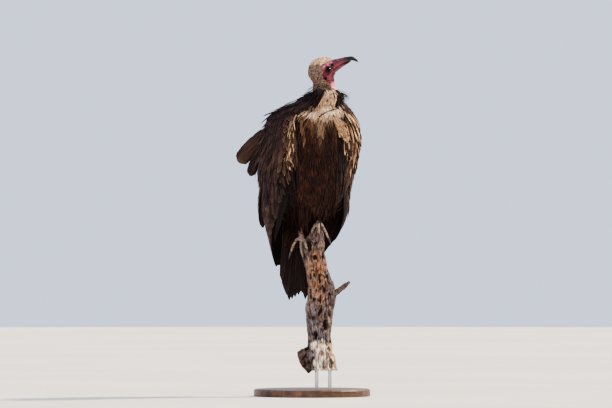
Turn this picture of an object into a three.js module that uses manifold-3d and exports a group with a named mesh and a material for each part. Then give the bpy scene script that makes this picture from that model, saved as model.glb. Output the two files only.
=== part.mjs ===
// A life-size hooded vulture, still, perched on a cut length of dead branch above a plain display stand.
// Millimetres, +Z up. The origin is the centre of the stand's underside, below the feet, and the bird's
// chest faces -Y, so its right side is on -X. The head is turned to the bird's left.
import * as THREE from "three";
import { mergeVertices } from "three/addons/utils/BufferGeometryUtils.js";
import Module from "manifold-3d";

const wasm = await Module();
wasm.setup();

// ---------------------------------------------------------------- driving dimensions
const GAP = 0.3; // clearance between solids that touch
const CLEAN_CUT = 8; // how far a cut runs on past the wing, so that it leaves no thin skin over it

const SPINE_LEAN = 14; // degrees between the spine and the vertical
const BODY_CENTRE = new THREE.Vector3(0, 18, 600);
const TRUNK_LOW = -130; // ends of the trunk along the spine, from the body's centre
const TRUNK_HIGH = 184;

const WING_FEATHERS = 12; // vanes whose tips show along the lower edge of a folded wing
const WING_TIP_NOTCH = 13; // how far the gap between two vane tips runs up
const WING_RIDGE = 0.9; // how far the middle of a vane stands above its edges
const WRIST_THICKNESS = 24;

const TAIL_ROOT = -96; // along the spine, from the body's centre
const TAIL_LENGTH = 264;
const TAIL_FEATHERS = 12;
const TAIL_ROUND = 50; // how much shorter the outer feathers are than the middle pair
const TAIL_TIP_NOTCH = 12;
const TAIL_RIDGE = 0.8;
const TAIL_TIP_THICKNESS = 1.6; // from the middle of the tail to either face
const TAIL_ROOT_THICKNESS = 8;
const TAIL_ARCH = 9; // how far the middle of the tail stands above its sides

const HEAD_CENTRE = new THREE.Vector3(-2, -62, 837);
const HEAD_TURN = -20; // degrees from +X, so that the bill points to the bird's left
const HEAD_TILT = 20; // degrees that the bill is raised
const SKULL_BACK = -38; // ends of the bare head along its own x axis
const SKULL_FRONT = 34;
const EYE_RADIUS = 7.4;
const EYE_PLACE = [9.5, 15.6, -2.2]; // forward, out to the side and up from the head's centre

const NECK_TOP = 834; // heights of the neck's two ends and of the ruff's lower one
const NECK_FOOT = 784;
const RUFF_FOOT = 740;
const RUFF_SPIKES = 11;
const SPIKE_HEIGHT = 5;

const TARSUS_RADIUS = 6.2;
const FOOT_PAD_RADIUS = 8.6;
const TOE_RADIUS = 4.6;
const TOE_TAPER = 0.8; // how much thicker a toe is at its root, and thinner at its claw
const CLAW_RADIUS = 3.4;
const CLAW_TIP_RADIUS = 0.7;
const CLAW_LENGTH = 17;
const CLAW_STRAIGHT = 0.5; // shares of that length: ahead to the bend, then on from it and down
const CLAW_AHEAD = 0.25;
const CLAW_DROP = 0.35;

const PERCH_TURN = -30; // degrees; the perch's own x axis runs across the bird's front
const PERCH_TOP = 443;
const PERCH_CUT = 66; // height of the sawn lower end
const GRAIN = 1.1; // height of the ridges that run up the weathered wood

const BASE_RADIUS = 150;
const BASE_THICKNESS = 18;
const BASE_CHAMFER = 3;
const ROD_RADIUS = 5;
const ROD_PLACES = [12, 46]; // along the perch's own x axis

const { degToRad, lerp } = THREE.MathUtils;
const X_AXIS = new THREE.Vector3(1, 0, 0);
const Y_AXIS = new THREE.Vector3(0, 1, 0);

// ---------------------------------------------------------------- materials
const paint = (color, roughness, metalness = 0) =>
  new THREE.MeshStandardMaterial({ color, roughness, metalness });
const PLUMAGE = paint(0x3a2a22, 0.85);
const FLIGHT = paint(0x241c1a, 0.75);
const HOOD = paint(0xb59a7c, 0.9);
const DOWN = paint(0xa98f78, 0.9);
const HORN = paint(0x2b2422, 0.4);
const IRIS = paint(0x1c120c, 0.1);
const SCALES = paint(0x8d8378, 0.6);
const WOOD = paint(0x8c7767, 0.85);
const STAND = paint(0x4a3a2e, 0.5);
const STEEL = paint(0xa9abad, 0.3, 1);

// ---------------------------------------------------------------- helpers
// Smooth values between stations [place, value, value, ...] listed with rising places.
function profile(stations) {
  const slope = (i, k) => {
    const before = stations[Math.max(i - 1, 0)];
    const after = stations[Math.min(i + 1, stations.length - 1)];
    return (after[k] - before[k]) / (after[0] - before[0]);
  };
  return (place) => {
    const at = THREE.MathUtils.clamp(place, stations[0][0], stations.at(-1)[0]);
    const next = stations.findIndex(([s], i) => i > 0 && s >= at);
    const [low, high] = [stations[next - 1], stations[next]];
    const span = high[0] - low[0];
    const t = (at - low[0]) / span;
    return low.slice(1).map((value, index) => {
      const k = index + 1;
      const rise = high[k] - value;
      const bend = (slope(next - 1, k) * span - rise) * (1 - t) - (slope(next, k) * span - rise) * t;
      return value + rise * t + bend * t * (1 - t);
    });
  };
}

// Moves each vertex of a geometry to the point that place(vertex) gives.
function warp(geometry, place) {
  const at = geometry.getAttribute("position");
  const vertex = new THREE.Vector3();
  for (let i = 0; i < at.count; i++) {
    const moved = place(vertex.fromBufferAttribute(at, i));
    at.setXYZ(i, moved.x, moved.y, moved.z);
  }
  return geometry;
}

// A closed round body: ring(along, angle) gives the wall, with along from 0 to 1 and angle from 0 to 2 pi.
function body(sides, steps, ring) {
  const blank = new THREE.CylinderGeometry(1, 1, 1, sides, steps);
  const middle = (along) => ring(along, 0).add(ring(along, Math.PI)).multiplyScalar(0.5);
  return warp(blank, (v) => {
    const along = 0.5 - v.y;
    const out = Math.round(Math.hypot(v.x, v.z));
    return out ? ring(along, Math.atan2(v.x, v.z)) : middle(along);
  });
}

// A limb along a curve: shape(along) gives [half-height, half-width] of its oval section.
function limb(points, shape, sides, steps, up = new THREE.Vector3(0, 0, 1)) {
  const path = new THREE.CatmullRomCurve3(points.map((p) => new THREE.Vector3(...p)));
  return body(sides, steps, (along, angle) => {
    const ahead = path.getTangent(along);
    const side = ahead.clone().cross(up).normalize();
    const top = side.clone().cross(ahead);
    const [high, wide] = shape(along);
    return path
      .getPoint(along)
      .addScaledVector(top, high * Math.cos(angle))
      .addScaledVector(side, wide * Math.sin(angle));
  });
}

// An oval section that grows evenly: values [half-height, half-width] or one radius, made larger by grow.
const section = (stations, grow) => {
  const sizes = profile(stations);
  return (along) => {
    const [high, wide = high] = sizes(along);
    return [high + grow, wide + grow];
  };
};

// A closed sheet: place(across, along, depth) gives its points, each argument from 0 to 1.
function sheet(columns, rows, place) {
  const blank = new THREE.BoxGeometry(1, 1, 1, columns, rows, 1);
  return warp(blank, (v) => place(v.x + 0.5, v.y + 0.5, v.z + 0.5));
}

// A geometry as a solid that can be cut and joined, with its faces pointing out.
function solid(geometry, matrix = new THREE.Matrix4()) {
  const bare = geometry.clone().applyMatrix4(matrix);
  bare.deleteAttribute("normal");
  bare.deleteAttribute("uv");
  const merged = mergeVertices(bare, 1e-3);
  const mesh = { numProp: 3, vertProperties: merged.attributes.position.array };
  const facing = new Uint32Array(merged.index.array);
  const made = new wasm.Manifold(new wasm.Mesh({ ...mesh, triVerts: facing }));
  // Listing the corners from last to first turns every face round.
  return made.volume() > 0 ? made : new wasm.Manifold(new wasm.Mesh({ ...mesh, triVerts: facing.reverse() }));
}

// The largest single body of a solid, without the slivers that a cut leaves.
function largest(cut) {
  return cut.decompose().reduce((a, b) => (a.volume() > b.volume() ? a : b));
}

const without = (whole, ...tools) => largest(tools.reduce((left, tool) => left.subtract(tool), whole));
const joined = (first, ...others) => largest(others.reduce((sum, other) => sum.add(other), first));

// A named mesh of a solid.
function node(name, material, shape) {
  const found = largest(shape).getMesh();
  const geometry = new THREE.BufferGeometry();
  geometry.setAttribute("position", new THREE.BufferAttribute(found.vertProperties, found.numProp));
  geometry.setIndex(new THREE.BufferAttribute(found.triVerts, 1));
  geometry.computeVertexNormals();
  const mesh = new THREE.Mesh(geometry, material);
  mesh.name = name;
  return mesh;
}

// ---------------------------------------------------------------- frames
// The body's own frame: x to the bird's left, y to its back, z up the spine.
const bodyFrame = new THREE.Group();
bodyFrame.position.copy(BODY_CENTRE);
bodyFrame.rotation.x = degToRad(SPINE_LEAN);
// The head's own frame: x forward along the bill, y to the head's left, z up.
const headFrame = new THREE.Group();
headFrame.position.copy(HEAD_CENTRE);
headFrame.rotation.set(0, degToRad(-HEAD_TILT), degToRad(HEAD_TURN), "ZYX");
const perchFrame = new THREE.Group();
perchFrame.rotation.z = degToRad(PERCH_TURN);
const vulture = new THREE.Group();
vulture.add(bodyFrame, headFrame, perchFrame);
vulture.updateMatrixWorld(true);
const inBody = (geometry) => solid(geometry, bodyFrame.matrixWorld);
const inHead = (geometry) => solid(geometry, headFrame.matrixWorld);
const inPerch = (geometry) => solid(geometry, perchFrame.matrixWorld);

// ---------------------------------------------------------------- trunk
// Up the spine: front, back and half-width of the feathered trunk.
const TRUNK = profile([
  [TRUNK_LOW, -50, 34, 42],
  [-116, -72, 48, 70],
  [-90, -87, 62, 93],
  [-50, -94, 75, 106],
  [-10, -91, 80, 112],
  [40, -86, 78, 113],
  [90, -84, 66, 107],
  [130, -84, 53, 95],
  [160, -80, 33, 68],
  [TRUNK_HIGH, -66, 14, 40],
]);
function trunkShape(grow) {
  const [low, high] = [TRUNK_LOW - grow, TRUNK_HIGH + grow];
  return body(20, 11, (along, angle) => {
    const z = lerp(high, low, along);
    const [front, back, half] = TRUNK(z);
    const centre = (front + back) / 2;
    const depth = (back - front) / 2 + grow;
    return new THREE.Vector3((half + grow) * Math.sin(angle), centre + depth * Math.cos(angle), z);
  });
}

// ---------------------------------------------------------------- wings
// Up the spine: centre, half-width, front depth and back depth of the folded wings' outer face.
const WING = profile([
  [-300, -12, 60, 26, 22],
  [-255, -12, 76, 42, 38],
  [-230, -9, 84, 46, 44],
  [-190, -16, 102, 54, 52],
  [-136, -15, 120, 70, 68],
  [-72, -3, 125, 80, 78],
  [-20, 6, 135, 86, 88],
  [50, -2, 137, 83, 86],
  [100, 2, 132, 74, 76],
  [118, 6, 125, 68, 66],
  [140, 3, 105, 56, 50],
  [168, -22, 76, 36, 34],
]);
// Up the spine: the angles round the body where the wing starts in front and ends at the back.
const WING_REACH = profile([
  [-300, 88, 150],
  [-250, 78, 160],
  [-200, 70, 168],
  [-150, 62, 175],
  [-100, 55, 178],
  [-50, 48, 178],
  [0, 42, 177],
  [50, 37, 174],
  [100, 34, 168],
  [168, 36, 160],
]);
// Across the wing from front to back: top edge and lowest feather tips, along the spine.
const WING_EDGES = profile([
  [0, 158, -128],
  [0.15, 166, -192],
  [0.3, 163, -240],
  [0.45, 154, -272],
  [0.6, 142, -276],
  [0.75, 128, -266],
  [0.9, 114, -248],
  [1, 102, -232],
]);
// Across the wing from front to back: its thickness, which is most at the wrist and the forearm.
const WING_THICK = profile([
  [0, WRIST_THICKNESS],
  [0.12, 19],
  [0.3, 10],
  [1, 6],
]);
// Up the wing from its tips to its top: the share of that thickness. The top closes against the back.
const WING_TAPER = profile([
  [0, 0.35],
  [0.8, 1],
  [1, 2.2],
]);
// proud is how far the wing's outer face is moved out, so that what lies under it is cut clean away.
function wingShape(side, grow = 0, proud = 0) {
  const columns = WING_FEATHERS * 2;
  return sheet(columns, 7, (across, along, depth) => {
    const isVane = Math.round(across * columns) % 2;
    const [top, tip] = WING_EDGES(across);
    const z = lerp(tip + (isVane ? 0 : WING_TIP_NOTCH) - grow, top + grow, along);
    const [front, back] = WING_REACH(z);
    const [centre, half, ahead, behind] = WING(z);
    const spread = THREE.MathUtils.radToDeg(grow / half);
    const angle = degToRad(lerp(front - spread, back + spread, across));
    const thick = Math.min(WING_THICK(across)[0] * WING_TAPER(along)[0], WRIST_THICKNESS);
    const ridge = isVane ? WING_RIDGE * (1 - along) : 0;
    const inset = depth ? grow + proud + ridge : -thick - grow;
    const reach = (Math.cos(angle) > 0 ? ahead : behind) + inset;
    return new THREE.Vector3(side * (half + inset) * Math.sin(angle), centre - reach * Math.cos(angle), z);
  });
}

const VANE_THICKNESS = 2.2;
const VANE_ARCH = 2.5; // how far the middle of a lifted vane bulges
// One broad vane from its root to its round tip; outward is the way that its face looks.
function vane(root, bend, tip, halfWidth, outward) {
  const path = new THREE.QuadraticBezierCurve3(...[root, bend, tip].map((p) => new THREE.Vector3(...p)));
  const face = new THREE.Vector3(...outward).normalize();
  const width = profile([
    [0, 0.45],
    [0.35, 1],
    [0.8, 1],
    [0.95, 0.65],
    [1, 0.14],
  ]);
  return sheet(2, 6, (across, step, depth) => {
    const along = Math.sin((step * Math.PI) / 2);
    const side = path.getTangent(along).cross(face).normalize();
    const place = 2 * across - 1;
    const arch = VANE_ARCH * (1 - place * place) + VANE_THICKNESS * (depth - 0.5);
    return path
      .getPoint(along)
      .addScaledVector(side, place * halfWidth * width(along)[0])
      .addScaledVector(face, arch);
  });
}

// Feathers that the wind lifts from the right wing, in the part's frame: root, bend, tip, half-width and
// the way that the broad face looks.
const LIFTED = [
  [[-88, 46, 692], [-124, 86, 666], [-150, 120, 602], 17, [-0.5, -0.8, 0.2]],
  [[-98, 44, 646], [-124, 78, 626], [-129, 92, 566], 14, [-0.5, -0.8, 0.1]],
  [[-104, 42, 566], [-124, 66, 500], [-104, 72, 433], 8, [-0.6, -0.8, 0]],
];

// ---------------------------------------------------------------- tail
// From the root down: half-width and height above the spine's line, towards the back.
const TAIL = profile([
  [0, 20, 34],
  [0.15, 30, 24],
  [0.35, 40, 8],
  [0.6, 48, -10],
  [0.85, 53, -22],
  [1, 50, -27],
]);
function tailShape(grow) {
  const columns = TAIL_FEATHERS * 2;
  return sheet(columns, 4, (across, along, depth) => {
    const side = 2 * across - 1;
    const isVane = Math.round(across * columns) % 2;
    const rounding = TAIL_ROUND * Math.pow(Math.abs(side), 2.2);
    const length = TAIL_LENGTH - rounding - (isVane ? 0 : TAIL_TIP_NOTCH) + grow;
    const down = (1 - along) * length;
    const [half, height] = TAIL(down / TAIL_LENGTH);
    const thick = lerp(TAIL_TIP_THICKNESS, TAIL_ROOT_THICKNESS, along * along) + grow;
    const face = depth ? thick + (isVane ? TAIL_RIDGE : 0) : -thick;
    return new THREE.Vector3(
      -side * (half + grow),
      height - TAIL_ARCH * side * side + face,
      TAIL_ROOT - down,
    );
  });
}

// ---------------------------------------------------------------- head, bill and eyes
// Forward along the head: crown, underside and half-width, in the head's own frame.
const SKULL = profile([
  [SKULL_BACK, 7, -3, 4],
  [-35, 19, -17, 15],
  [-28, 27, -26, 21],
  [-16, 33, -30, 24.5],
  [-2, 35, -30, 25],
  [10, 33.5, -28, 21.5],
  [20, 29, -25, 17],
  [28, 22.5, -20, 13],
  [SKULL_FRONT, 18, -13, 9.5],
]);
function skullShape(grow) {
  return body(16, 9, (along, angle) => {
    const x = lerp(SKULL_BACK - grow, SKULL_FRONT + grow, along);
    const [crown, under, half] = SKULL(x);
    const centre = (crown + under) / 2;
    const high = (crown - under) / 2 + grow;
    return new THREE.Vector3(x, -(half + grow) * Math.sin(angle), centre + high * Math.cos(angle));
  });
}
function eyeShape(side, grow) {
  const [ahead, out, up] = EYE_PLACE;
  return new THREE.SphereGeometry(EYE_RADIUS + grow, 10, 7).translate(ahead, side * out, up);
}
// The bill's two halves: points along the middle, and [place, half-height, half-width] from root to tip.
const BILLS = {
  upper: {
    route: [[27, 0, 4.6], [48, 0, 6.2], [66, 0, 5.4], [79, 0, 3.6], [87.5, 0, -2.4], [92, 0, -11]],
    sizes: [[0, 13, 10.5], [0.3, 9, 7.6], [0.6, 6.4, 5.4], [0.8, 4.6, 4], [0.93, 2.4, 2], [1, 0.6, 0.6]],
    steps: 10,
  },
  lower: {
    route: [[21, 0, -12], [44, 0, -6.4], [60, 0, -3.4], [76, 0, -1.4]],
    sizes: [[0, 6.5, 9.5], [0.4, 4.4, 6.4], [0.8, 3, 4], [1, 1, 1.4]],
    steps: 6,
  },
};
const billShape = ({ route, sizes, steps }, grow) => limb(route, section(sizes, grow), 10, steps);

// ---------------------------------------------------------------- neck and ruff
// Up the neck, in the part's own frame: centre x and y, half-length along the head's line, half-width.
const NECK = profile([
  [RUFF_FOOT, -4, -52, 44, 46],
  [758, 1, -63, 46, 46],
  [774, 5, -70, 44, 40],
  [NECK_FOOT, 4, -67, 36, 32],
  [800, 2, -63, 29.5, 26],
  [815, 0, -62, 27, 23],
  [NECK_TOP, -3, -61, 24, 20],
]);
// A length of the neck between two heights; spikes make the lower end of the ruff stand out in points.
function neckShape(low, high, spikes) {
  const turn = degToRad(HEAD_TURN);
  return body(22, 4, (along, angle) => {
    const z = lerp(high, low, along);
    const [x, y, long, wide] = NECK(z);
    const point = spikes * Math.cos(RUFF_SPIKES * angle) * along;
    const [u, w] = [(long + point) * Math.sin(angle), (wide + point) * Math.cos(angle)];
    return new THREE.Vector3(
      x + u * Math.cos(turn) - w * Math.sin(turn),
      y + u * Math.sin(turn) + w * Math.cos(turn),
      z,
    );
  });
}

// ---------------------------------------------------------------- perch
// Up the branch, in the perch's own frame: centre along x and y, half-width and half-depth.
const STEM = profile([
  [PERCH_CUT, 27, 0, 41, 38],
  [95, 24, 0, 38, 36],
  [145, 19, 0, 30, 31],
  [182, 18, 0, 33, 32],
  [222, 19, 0, 37, 34],
  [252, 24, 0, 37, 33],
  [288, 23, 0, 33, 31],
  [320, 15, 0, 31, 29],
  [350, 6, 0, 29, 28],
  [386, 3, 0, 31, 27],
  [400, 4, 0, 27, 25],
  [412, 10, 0, 20, 22],
  [430, 12, 1, 15, 18],
  [PERCH_TOP, 15, 2, 9, 11],
]);
// A point on the branch's wall, at an angle in degrees from its front and lifted off by some millimetres.
function onStem(degrees, z, lift) {
  const angle = degToRad(degrees);
  const [x, y, wide, deep] = STEM(z);
  return new THREE.Vector3(x + (wide + lift) * Math.sin(angle), y - (deep + lift) * Math.cos(angle), z);
}
function stemShape(grow) {
  return body(16, 14, (along, angle) => {
    const z = lerp(PERCH_TOP + grow, PERCH_CUT, along);
    const knots = Math.sin(5 * angle + z / 31) + 0.6 * Math.sin(9 * angle - z / 23);
    return onStem(THREE.MathUtils.radToDeg(angle), z, GRAIN * knots + grow);
  });
}
function knobShape(grow) {
  const sizes = [[0, 30, 26], [1, 15, 14]];
  return limb([[8, 4, 80], [-14, 0, 97], [-27, -2, 120]], section(sizes, grow), 12, 5, X_AXIS);
}
function twigShape() {
  const route = [[44, 0, 256], [62, -2, 266], [80, -3, 280], [97, -3, 294]];
  return limb(route, section([[0, 8], [1, 3.4]], 0), 10, 5, Y_AXIS);
}
const perchSolid = (grow) => joined(inPerch(stemShape(grow)), inPerch(knobShape(grow)));

// ---------------------------------------------------------------- legs, feet and claws
const TOE_LIFT = TOE_RADIUS + GRAIN + 2 * GAP; // from the middle of the bark to the middle of a toe
const onWood = (degrees, z) => onStem(degrees, z, TOE_LIFT).toArray();
// Each foot in the perch's frame: the thigh's points, the ankle, the ball of the foot, and each toe's points
// from the ball to the root of its claw, given by onWood where the toe lies along the branch.
const FEET = {
  right: {
    thigh: [[-50, 40, 515], [-44, 30, 470], [-36, 14, 434]],
    ankle: [-33, 10, 446],
    ball: [-27, -4, 410],
    toes: {
      outer: [[-40, -16, 402], [-49, -20, 386], [-55, -20, 369]],
      middle: [onWood(-62, 392), onWood(-58, 374), onWood(-52, 356)],
      inner: [onWood(-44, 400), onWood(-32, 390), onWood(-25, 376)],
      hind: [[-27, 12, 408], [-26, 24, 398], [-24, 31, 384]],
    },
  },
  left: {
    thigh: [[34, 38, 528], [27, 25, 488], [18, 10, 457]],
    ankle: [18, 12, 474],
    ball: [15, 0, 453],
    toes: {
      outer: [[24, -8, 442], [34, -12, 424], [43, -13, 404]],
      middle: [onWood(-22, 438), onWood(-28, 429), onWood(-30, 417)],
      inner: [onWood(8, 440), onWood(14, 429), onWood(18, 416)],
      hind: [[14, 16, 447], [12, 27, 436], [11, 31, 420]],
    },
  },
};
function toeShape(from, points) {
  const sizes = [[0, TOE_RADIUS + TOE_TAPER], [1, TOE_RADIUS - TOE_TAPER]];
  return limb([from, ...points], section(sizes, 0), 5, 3, X_AXIS);
}
function clawShape(points, grow) {
  const [near, end] = points.slice(-2).map((p) => new THREE.Vector3(...p));
  const ahead = end.clone().sub(near).normalize();
  const bend = end.clone().addScaledVector(ahead, CLAW_LENGTH * CLAW_STRAIGHT);
  const tip = bend.clone().addScaledVector(ahead, CLAW_LENGTH * CLAW_AHEAD);
  tip.z -= CLAW_LENGTH * CLAW_DROP;
  const root = end.clone().sub(ahead);
  const route = [root, bend, tip].map((p) => p.toArray());
  return limb(route, section([[0, CLAW_RADIUS], [1, CLAW_TIP_RADIUS]], grow), 6, 4, X_AXIS);
}
function footShape({ ankle, ball, toes }) {
  const sizes = [[0, TARSUS_RADIUS], [1, TARSUS_RADIUS + 1]];
  const shank = limb([ankle, ball], section(sizes, 0), 8, 2, X_AXIS);
  const pad = new THREE.SphereGeometry(FOOT_PAD_RADIUS, 7, 4).translate(...ball);
  const toeSolids = Object.values(toes).map((points) => inPerch(toeShape(ball, points)));
  return joined(inPerch(shank), inPerch(pad), ...toeSolids);
}
function thighShape({ thigh }, grow) {
  const sizes = [[0, 42], [0.5, 36], [0.85, 21], [1, 12]];
  return limb(thigh, section(sizes, grow), 10, 6, X_AXIS);
}

// ---------------------------------------------------------------- stand
function baseShape() {
  const side = BASE_THICKNESS - BASE_CHAMFER;
  const outline = [
    [0, 0],
    [BASE_RADIUS, 0],
    [BASE_RADIUS, side],
    [BASE_RADIUS - BASE_CHAMFER, BASE_THICKNESS],
    [0, BASE_THICKNESS],
  ];
  return new THREE.LatheGeometry(outline.map((p) => new THREE.Vector2(...p)), 36).rotateX(Math.PI / 2);
}
const ROD_HEIGHT = PERCH_CUT - BASE_THICKNESS - 2 * GAP;
function rodShape() {
  return new THREE.CylinderGeometry(ROD_RADIUS, ROD_RADIUS, ROD_HEIGHT, 16).rotateX(Math.PI / 2);
}

// ---------------------------------------------------------------- assembly
const SIDES = { left: 1, right: -1 };
const roomForWings = Object.values(SIDES).map((side) => inBody(wingShape(side, GAP, CLEAN_CUT)));
const roomForTail = inBody(tailShape(GAP));
const roomForTrunk = inBody(trunkShape(GAP));
const roomForPerch = perchSolid(GAP);
const liftedVanes = LIFTED.map((feather) => solid(vane(...feather)).subtract(roomForTrunk));
const wing = {
  left: inBody(wingShape(SIDES.left)),
  right: joined(inBody(wingShape(SIDES.right)), ...liftedVanes),
};
const trunk = without(inBody(trunkShape(0)), ...roomForWings, roomForTail);
const neck = without(solid(neckShape(NECK_FOOT, NECK_TOP, 0)), inHead(skullShape(GAP)));
const ruff = solid(neckShape(RUFF_FOOT, NECK_FOOT - GAP, SPIKE_HEIGHT));
vulture.add(
  node("trunk", PLUMAGE, trunk),
  node("neck", DOWN, neck),
  node("ruff", HOOD, without(ruff, roomForTrunk, ...roomForWings)),
  node("wing_left", FLIGHT, without(wing.left, roomForTail)),
  node("wing_right", FLIGHT, without(wing.right, roomForTail)),
  node("tail", FLIGHT, inBody(tailShape(0))),
);

const roomForUpperBill = solid(billShape(BILLS.upper, GAP));
const roomForLowerBill = solid(billShape(BILLS.lower, GAP));
const roomForEyes = Object.values(SIDES).map((side) => solid(eyeShape(side, GAP)));
headFrame.add(
  node("head", HOOD, without(solid(skullShape(0)), roomForUpperBill, roomForLowerBill, ...roomForEyes)),
  node("bill_upper", HORN, solid(billShape(BILLS.upper, 0))),
  node("bill_lower", HORN, without(solid(billShape(BILLS.lower, 0)), roomForUpperBill)),
);
for (const [name, side] of Object.entries(SIDES)) {
  headFrame.add(node(`eye_${name}`, IRIS, solid(eyeShape(side, 0))));
}

for (const [name, foot] of Object.entries(FEET)) {
  const thigh = inPerch(thighShape(foot, 0));
  const besideThigh = [roomForTrunk, ...roomForWings, roomForTail, roomForPerch];
  const roomForThigh = inPerch(thighShape(foot, GAP));
  const roomForClaws = Object.values(foot.toes).map((points) => inPerch(clawShape(points, GAP)));
  const besideFoot = [roomForPerch, roomForThigh, roomForTrunk, ...roomForClaws];
  vulture.add(
    node(`thigh_${name}`, PLUMAGE, without(thigh, ...besideThigh)),
    node(`foot_${name}`, SCALES, without(footShape(foot), ...besideFoot)),
  );
  for (const [toe, points] of Object.entries(foot.toes)) {
    const claw = inPerch(clawShape(points, 0));
    vulture.add(node(`claw_${name}_${toe}`, HORN, without(claw, roomForPerch)));
  }
}

vulture.add(
  node("perch", WOOD, perchSolid(0)),
  node("perch_twig", WOOD, without(inPerch(twigShape()), roomForPerch)),
  node("stand_base", STAND, solid(baseShape())),
);
ROD_PLACES.forEach((place, i) => {
  const rod = node(`stand_rod_${i + 1}`, STEEL, solid(rodShape()));
  rod.position.set(place, 0, BASE_THICKNESS + GAP + ROD_HEIGHT / 2);
  perchFrame.add(rod);
});

export default vulture;
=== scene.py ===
# %% [markdown]
# # A hooded vulture on its perch
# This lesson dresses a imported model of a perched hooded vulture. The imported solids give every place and
# size. Over them come one skin, some thousands of feathers, a bill, eyes, claws, a weathered branch and a
# stand. Everything is in metres, +Z is up, and the bird's chest faces -Y with its head turned to its left.

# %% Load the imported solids
import math

import bpy
import numpy as np
from numpy.random import default_rng
from mathutils import Matrix, Vector, noise
from mathutils.bvhtree import BVHTree


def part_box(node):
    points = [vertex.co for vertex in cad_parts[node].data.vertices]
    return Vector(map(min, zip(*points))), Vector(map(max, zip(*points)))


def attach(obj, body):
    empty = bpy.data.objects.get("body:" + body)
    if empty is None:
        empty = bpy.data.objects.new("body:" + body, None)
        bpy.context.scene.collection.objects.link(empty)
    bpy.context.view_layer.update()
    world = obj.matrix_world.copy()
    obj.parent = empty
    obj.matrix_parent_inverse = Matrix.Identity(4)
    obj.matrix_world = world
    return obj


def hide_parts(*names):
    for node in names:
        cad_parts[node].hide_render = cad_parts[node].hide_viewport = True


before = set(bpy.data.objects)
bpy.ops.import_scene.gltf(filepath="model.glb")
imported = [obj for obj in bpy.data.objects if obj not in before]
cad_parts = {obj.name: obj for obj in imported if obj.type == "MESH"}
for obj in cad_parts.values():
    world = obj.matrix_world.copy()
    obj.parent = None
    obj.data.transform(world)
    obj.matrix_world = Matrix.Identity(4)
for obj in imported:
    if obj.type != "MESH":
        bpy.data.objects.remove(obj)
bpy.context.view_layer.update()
MM = 0.001
bpy.ops.object.select_all(action="DESELECT")

# %% [markdown]
# ## Camera, light and floor
# A bird on a high perch is seen level and from far away, which flattens its depth. A long lens at 16 m
# gives the same flat look. The light is a soft pale sky with one large warm lamp, high on the right and a
# little behind the bird, so that the crown and one shoulder catch it and the breast stays in soft shade. A
# second, weak lamp opens that shade a little. The AgX view with some more contrast keeps dark plumage deep
# under a pale sky, which a flatter view would turn grey.

# %% Camera
VIEW_TURN = math.radians(-30)  # round from the bird's front, towards its right side
CAMERA_DISTANCE = 16.0
FRAME_WIDTH = 1.575  # what the frame takes in at the bird
FRAME_ACROSS, FRAME_UP = -15.4 * MM, 494 * MM  # the middle of the frame
SENSOR = 36.0
RIGHTWARD = Vector((math.cos(VIEW_TURN), math.sin(VIEW_TURN), 0))
AWAY = Vector((-math.sin(VIEW_TURN), math.cos(VIEW_TURN), 0))
UP = Vector((0, 0, 1))

stand_point = RIGHTWARD * FRAME_ACROSS + UP * FRAME_UP - AWAY * CAMERA_DISTANCE
bpy.ops.object.camera_add(location=stand_point, rotation=(math.pi / 2, 0, VIEW_TURN))
camera = bpy.context.object
camera.data.sensor_width = SENSOR
camera.data.lens = SENSOR * CAMERA_DISTANCE / FRAME_WIDTH
camera.data.clip_end = 100
bpy.context.scene.camera = camera
print("camera at", [round(v, 2) for v in stand_point], "lens", round(camera.data.lens))

# %% Sky, lamps and floor
SKY = (0.69, 0.77, 0.93, 1)
SKY_STRENGTH = 1.22
FLOOR_RADIUS = 9.0
FLOOR_DROP = 0.5 * MM  # keeps the floor clear of the stand's underside

sky = bpy.data.worlds.new("pale_sky")
sky.use_nodes = True
backdrop = sky.node_tree.nodes["Background"]
backdrop.inputs["Color"].default_value = SKY
backdrop.inputs["Strength"].default_value = SKY_STRENGTH
bpy.context.scene.world = sky
bpy.context.scene.view_settings.view_transform = "AgX"
bpy.context.scene.view_settings.look = "AgX - Medium High Contrast"


def lamp(name, right, away, up, strength, softness, colour):
    """A far lamp that shines from a direction as the camera sees it; softness is its width in degrees."""
    toward = (RIGHTWARD * right + AWAY * away + UP * up).normalized()
    bpy.ops.object.light_add(type="SUN", location=toward * 3)
    sun = bpy.context.object
    sun.name = name
    sun.rotation_euler = toward.to_track_quat("Z", "Y").to_euler()
    sun.data.energy = strength
    sun.data.angle = math.radians(softness)
    sun.data.color = colour


def settle():
    """Moves the active object's place, turn and size into its mesh, so that the object sits at the origin."""
    bpy.ops.object.transform_apply(location=True, rotation=True, scale=True)


lamp("warm_key", 0.80, 0.30, 0.85, 6.5, 6, (1.0, 0.83, 0.64))
lamp("soft_front", -0.35, -0.9, 0.55, 0.9, 60, (1.0, 0.95, 0.9))
bpy.ops.mesh.primitive_circle_add(vertices=128, radius=FLOOR_RADIUS, fill_type="NGON",
                                  location=(0, 0, -FLOOR_DROP))
floor = bpy.context.object
floor.name = "floor"
settle()
print("floor radius", FLOOR_RADIUS)

# %% [markdown]
# ## Small tools
# `profile` turns a short list of stations into smooth values, which is how a boat builder keeps a hull
# fair. `wedge` fades from 0 to 1, and `bump` is a soft hill. They are used for shapes and for markings
# alike.


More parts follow.
